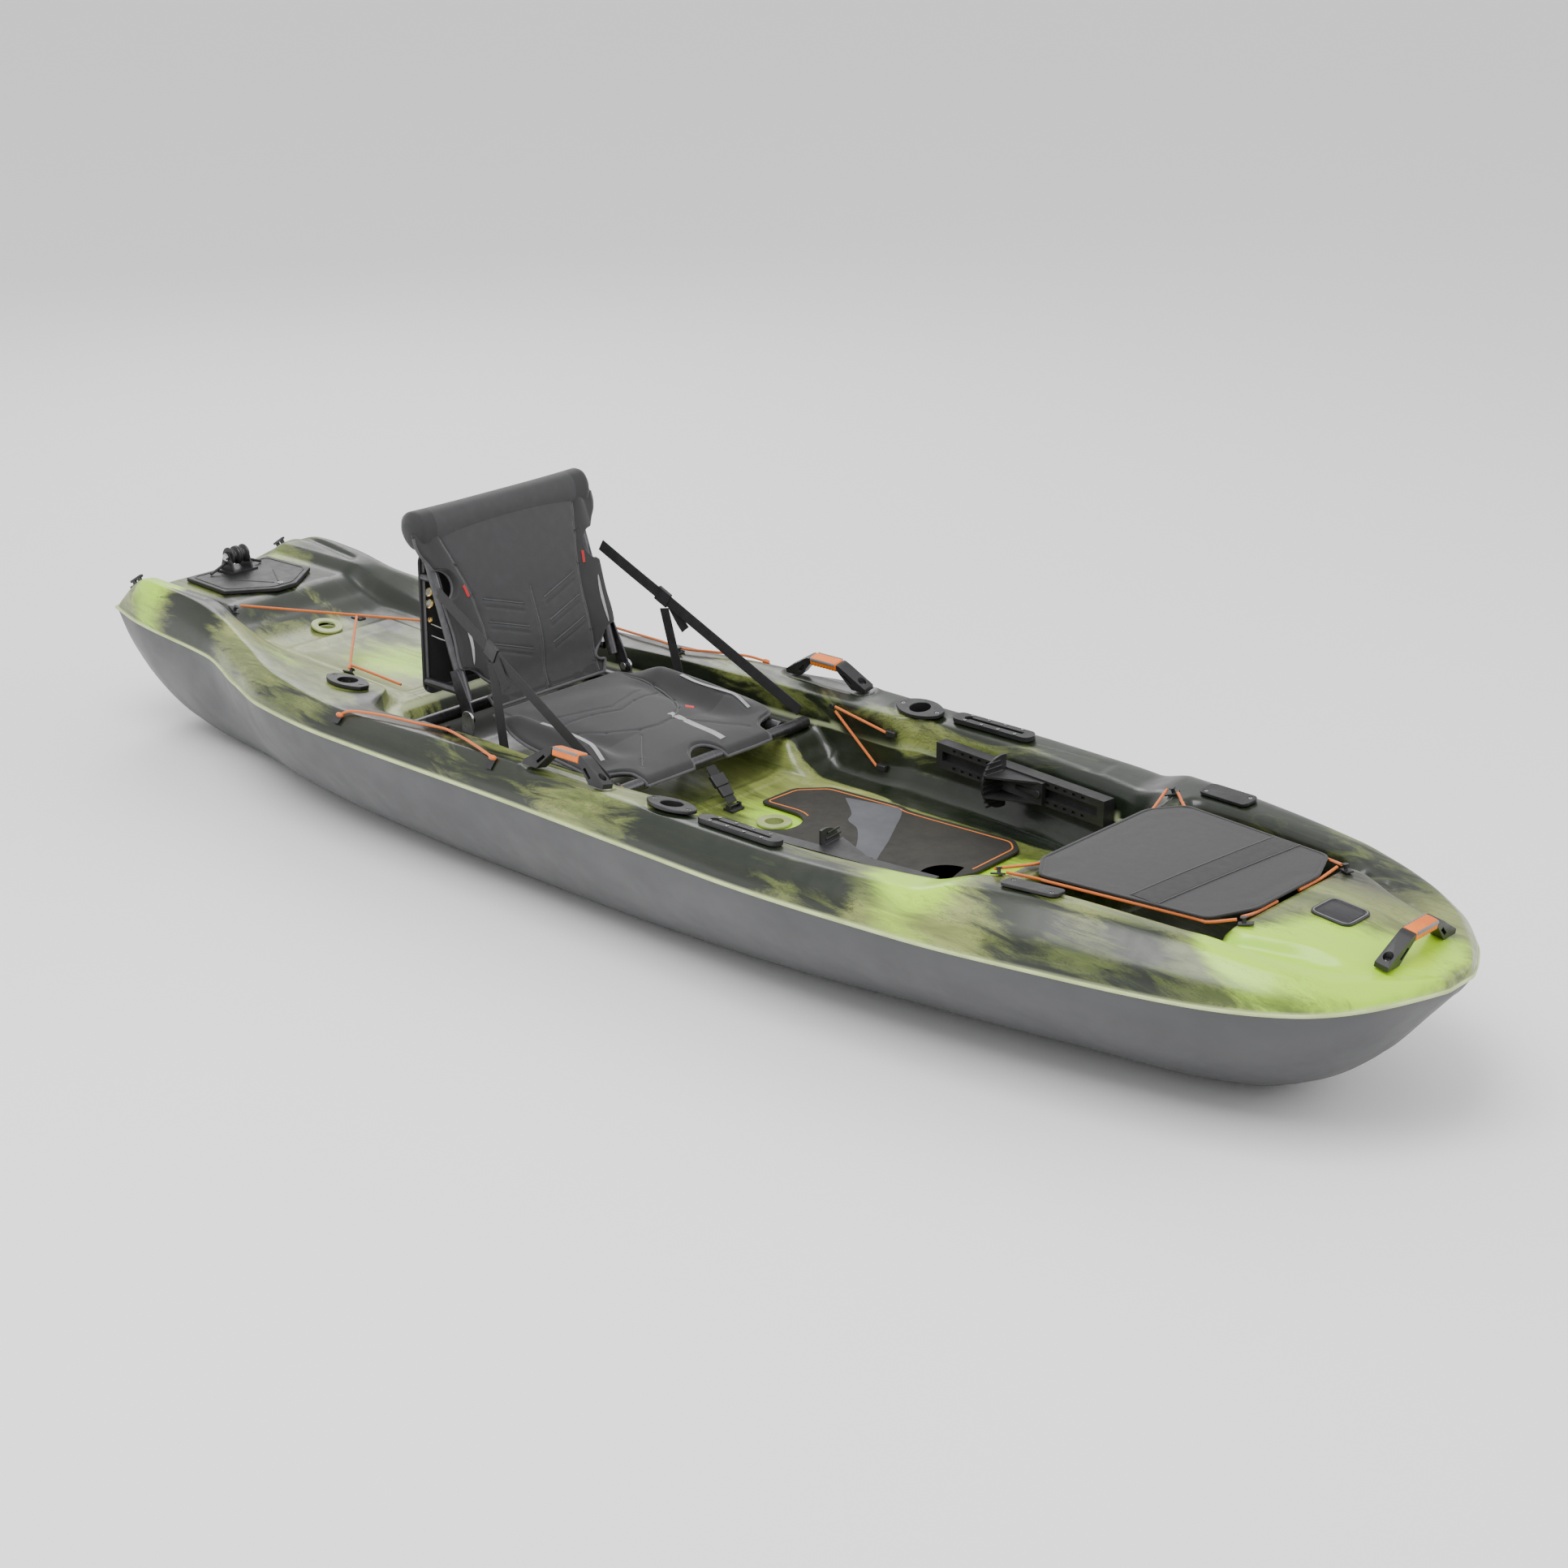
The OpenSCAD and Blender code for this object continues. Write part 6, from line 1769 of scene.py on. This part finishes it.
@dataclass
class SeatBase:
    """Padded seat base: tongue, raised bolsters, bound notches and chevron seams."""

    profile: tuple = ((-445, 299), (-400, 297), (-340, 296), (-260, 293), (-180, 288),
                      (-110, 281), (-70, 275), (-42, 269), (-29, 264), (-24, 256))
    widths: tuple = ((-445, 170), (-415, 182), (-385, 204), (-330, 231), (-260, 246),
                     (-200, 250), (-112, 252), (-96, 247), (-86, 236), (-80, 210), (-70, 188),
                     (-58, 177), (-24, 173))
    thickness: float = 17.0

    def surface(self, x: Array, y: Array) -> Array:
        """Height of the top over plan points, in mm.

        Bells across the seat raise the two bolsters, a wide one crowns the tongue, and narrow
        ones sink the seams.
        """
        z = hermite(self.profile, x)
        ay = np.abs(y)
        along = smooth(x, -90, -150) * smooth(x, -420, -340)
        crown = smooth(x, -30, -80) * smooth(x, -420, -340)
        z = z + 24 * bump(ay - 198, 30) * along + 7 * bump(ay, 95) * crown
        z = z - 6 * bump(ay - 142, 26) * along
        tongue = np.array(((-450, 168), (-330, 158), (-250, 134), (-205, 100), (-168, 44),
                           (-160, 0)), float)
        for a, b in zip(tongue[:-1], tongue[1:]):
            z = z - 3.0 * bump(segment_distance(x, ay, a, b), 3.4)
        for a, b in (((-286, 0), (-330, 120)), ((-262, 0), (-285, 60)), ((-285, 60), (-300, 140))):
            z = z - 2.2 * bump(segment_distance(x, ay, a, b), 2.8)
        for a, b in (((-150, 60), (-60, 150)), ((-185, 186), (-110, 196))):
            z = z - 2.2 * bump(segment_distance(x, ay, a, b), 3.0)
        folds = 0.6 * np.sin(x / 11.0) * np.sin(y / 17.0 + 1) * bump(ay - 140, 40)
        return z + folds

    def outline(self, u: Array, v: Array) -> tuple[Array, Array]:
        """Plan place of parameters u, front to back, and v, side to side, in mm."""
        x = -24 - 421 * u
        notch = np.sqrt(np.clip(45**2 - (v * 173)**2, 0, None)) - 5
        x = x - np.where(notch > 0, notch, 0) * (1 - u)**5
        return x, v * hermite(self.widths, x)

    def cushion(self) -> bpy.types.Object:
        """The cushion: top, rounded rim and underside as one closed skin."""
        u, v = np.linspace(0, 1, 150)[:, None], np.linspace(-1, 1, 170)[None]
        uu, vv = np.broadcast_arrays(u, v)
        x, y = self.outline(uu, vv)
        z = self.surface(x, y)
        w = hermite(self.widths, x)
        rim = np.minimum(np.minimum(w - np.abs(y), 421 * uu + 0.01), 421 * (1 - uu) + 0.01)
        rim = np.clip(rim / 8.0, 0, 1)
        round_off = 1 - np.sqrt(np.clip(1 - (1 - rim)**2, 0, 1))
        top = np.stack([x, y, z - round_off * self.thickness * 0.5], -1) * MM
        low = np.stack([x, y, z - self.thickness + round_off * self.thickness * 0.5], -1) * MM
        flat = np.stack([x, y], -1) * MM
        skin = Skin()
        skin.grid(top, flat)
        skin.grid(low, flat, flip=True)
        return skin.piece("seat_base_cushion", weld=4e-5, sharp=80)

    def line(self, skin: Skin, points: Sequence[Sequence[float]], section: Array, up: float,
             parts: int = 12) -> None:
        """A line along the top of the cushion through plan points in mm."""
        plan = spline(np.asarray(points, float), parts)
        z = self.surface(plan[:, 0], plan[:, 1]) + up
        sweep(skin, np.column_stack([plan, z]) * MM, section)

    def build(self) -> None:
        """Makes the cushion and its trims."""
        piece = self.cushion()
        DRESS.dress(piece, Look.SEAT, BOAT, "seat_base_sling")
        x, y, z = face_centres(piece).T
        edge = np.interp(x, (-450, -330, -250, -205, -168, -160), (168, 158, 134, 100, 44, 0))
        side = (np.abs(y) > edge) & (x < -160) | (z < self.surface(x, y) - 6)
        DRESS.second(piece, Look.SEAT_SIDE, side)
        bind, pipe, pale, red = Skin(), Skin(), Skin(), Skin()
        u = np.linspace(0, 1, 260)
        for s in (1, -1):
            x, y = self.outline(u, np.full(260, float(s)))
            z = self.surface(x, y) - self.thickness * 0.5
            sweep(bind, even(np.column_stack([x, y * 1.002, z]) * MM, 240), circle(0.0032, 10))
            self.line(pipe, ((-440, s * 167), (-330, s * 158), (-250, s * 134), (-205, s * 100),
                             (-168, s * 44), (-160, 0)), circle(0.0017, 8), 0.5)
            self.line(pipe, ((-286, 0), (-308, s * 60), (-330, s * 120)), circle(0.0013, 8), 0.4)
            self.line(pipe, ((-150, s * 60), (-105, s * 105), (-60, s * 150)),
                      circle(0.0013, 8), 0.4)
            # Painted highlight: pale slivers along the crests of the bolsters.
            self.line(pale, ((-285, s * 194), (-235, s * 190), (-175, s * 194), (-110, s * 204)),
                      lozenge(0.0095, 0.0014, 4, 10), 0.3)
        v = np.linspace(-1, 1, 200)
        x, y = self.outline(np.zeros(200), v)
        z = self.surface(x, y) - self.thickness * 0.5
        sweep(bind, even(np.column_stack([x + 0.5, y, z]) * MM, 220), circle(0.0032, 10))
        # Painted highlight: one pale streak over the crown of the tongue.
        self.line(pale, ((-190, 62), (-120, 58), (-52, 66)), lozenge(0.016, 0.0014, 5, 12), 0.3)
        self.line(red, ((-206, 122), (-194, 134)), lozenge(0.012, 0.0016, 4, 10), 0.8, 6)
        wear(bind, "seat_base_binding", Look.BINDING, BOAT, sharp=80)
        wear(pipe, "seat_base_piping", Look.BINDING, BOAT, sharp=80)
        wear(pale, "seat_base_painted_highlights", Look.PAINTED_HIGHLIGHT, BOAT, sharp=80)
        wear(red, "seat_base_tag", Look.TAG, BOAT, sharp=80)


@dataclass
class RearPanel:
    """Cloth-covered panel behind the back, with grommets and lacing."""

    x: float = -609.5
    low: float = 301.5
    high: float = 599.5
    half: float = 205.0

    def build(self) -> None:
        """Makes the panel, its stitched border, its grommets and its lacing."""
        panel = refined("back_panel", "rear_panel_form", 0.0015)
        DRESS.dress(panel, Look.PANEL, BACK, "back_panel")
        border, ring, lace = Skin(), Skin(), Skin()
        shape = rounded_outline(((-self.half, self.low), (self.half, self.low),
                                 (self.half, self.high), (-self.half, self.high)), 28, 8)
        for x in (-612.4, -606.6):
            loop = np.column_stack([np.full(len(shape), x), outline_inset(shape, 7)]) * MM
            sweep(border, even(np.vstack([loop, loop[:1]]), 200)[:-1],
                  lozenge(0.0016, 0.012, 4, 12), closed=True)
        for s in (1, -1):
            for z, r in ((self.high - 88, 0.0098), (self.high - 112, 0.0098),
                         (self.high - 145, 0.0056)):
                a = np.linspace(0, math.tau, 33)[:-1]
                loop = np.column_stack([np.full(32, self.x * MM), (s * (self.half - 22)) * MM
                                        + r * np.cos(a), z * MM + r * np.sin(a)])
                sweep(ring, loop, lozenge(0.0066, 0.003, 3, 12), closed=True,
                      side=np.array([1.0, 0, 0]))
            for z in (130, 154):
                start = np.array([-606.4, s * 181, HINGE[1] + z])
                stop = SeatBack().out(np.array([1.4, s * 185, z + 12])) / MM
                mid = (start + stop) / 2 - [0, 0, 3]
                path = spline(np.array([start, mid, stop]), 10) * MM
                sweep(lace, path, circle(0.0012, 8))
        wear(border, "rear_panel_border", Look.BINDING, BACK, sharp=70)
        wear(ring, "rear_panel_grommets", Look.BRASS, BACK, sharp=70)
        DRESS.dress(lace.piece("rear_panel_lacing", sharp=70), Look.LACE, BACK, "panel_lacing")


# ---------------------------------------------------------------- scene


@dataclass
class Studio:
    """Pale floor, soft lights and the camera."""

    lens: float = 69.734
    eye: Point = (3.72045, -3.97773, 2.27035)
    tilt: float = 0.361736
    turn: float = 2.300224

    def area(self, name: str, place: Point, aim: Point, size: float, power: float,
             colour: Colour = (1, 1, 1)) -> None:
        """A square soft light aimed at a point."""
        light = bpy.data.lights.new(name, "AREA")
        light.shape, light.size, light.energy, light.color = "SQUARE", size, power, colour
        lamp = linked(name, light)
        lamp.location = place
        way = np.asarray(aim, float) - np.asarray(place, float)
        flat = math.hypot(way[0], way[1])
        lamp.rotation_euler = Euler((math.atan2(flat, -way[2]), 0,
                                     math.atan2(way[1], way[0]) - math.pi / 2))

    def build(self) -> None:
        """Makes the floor, the lights, the world and the camera."""
        mesh = bpy.data.meshes.new("floor")
        mesh.from_pydata([(-40, -40, -0.001), (40, -40, -0.001), (40, 40, -0.001),
                          (-40, 40, -0.001)], [], [(0, 1, 2, 3)])
        floor = linked("floor", mesh)
        shader = Shader("floor_finish", 0.9)
        shader.set("Base Color", (0.93, 0.93, 0.93))
        mesh.materials.append(shader.material)
        world = bpy.data.worlds.new("sky")
        bpy.context.scene.world = world
        world.use_nodes = True
        sky = world.node_tree.nodes["Background"].inputs
        sky["Color"].default_value = (1, 1, 1, 1)
        sky["Strength"].default_value = 1.05
        self.area("key", (0.8, -2.2, 4.6), (0.0, 0.0, 0.2), 3.2, 230)
        self.area("fill", (4.2, 2.6, 2.8), (0.2, 0.0, 0.2), 3.0, 60)
        self.area("rim", (-3.8, 2.2, 3.2), (-0.2, 0.0, 0.3), 2.6, 70)
        data = bpy.data.cameras.new("camera")
        data.sensor_width, data.lens = 36.0, self.lens
        data.clip_end = 60
        camera = linked("camera", data)
        camera.location = self.eye
        camera.rotation_euler = Euler((math.pi / 2 - self.tilt, 0.0, self.turn - math.pi / 2))
        bpy.context.scene.camera = camera


def main() -> None:
    """Builds the whole scene."""
    logging.basicConfig(level=logging.INFO, format="%(name)s: %(message)s")
    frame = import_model()
    FRAME.update(frame)
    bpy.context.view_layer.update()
    Hull().build()
    Deck().build()
    Fittings().build()
    cords = Cords()
    cords.build()
    Cover().build(cords)
    FloorPad().build()
    Webbing().build()
    SeatBack().build()
    SeatBase().build()
    RearPanel().build()
    Studio().build()


if __name__ == "__main__":
    main()
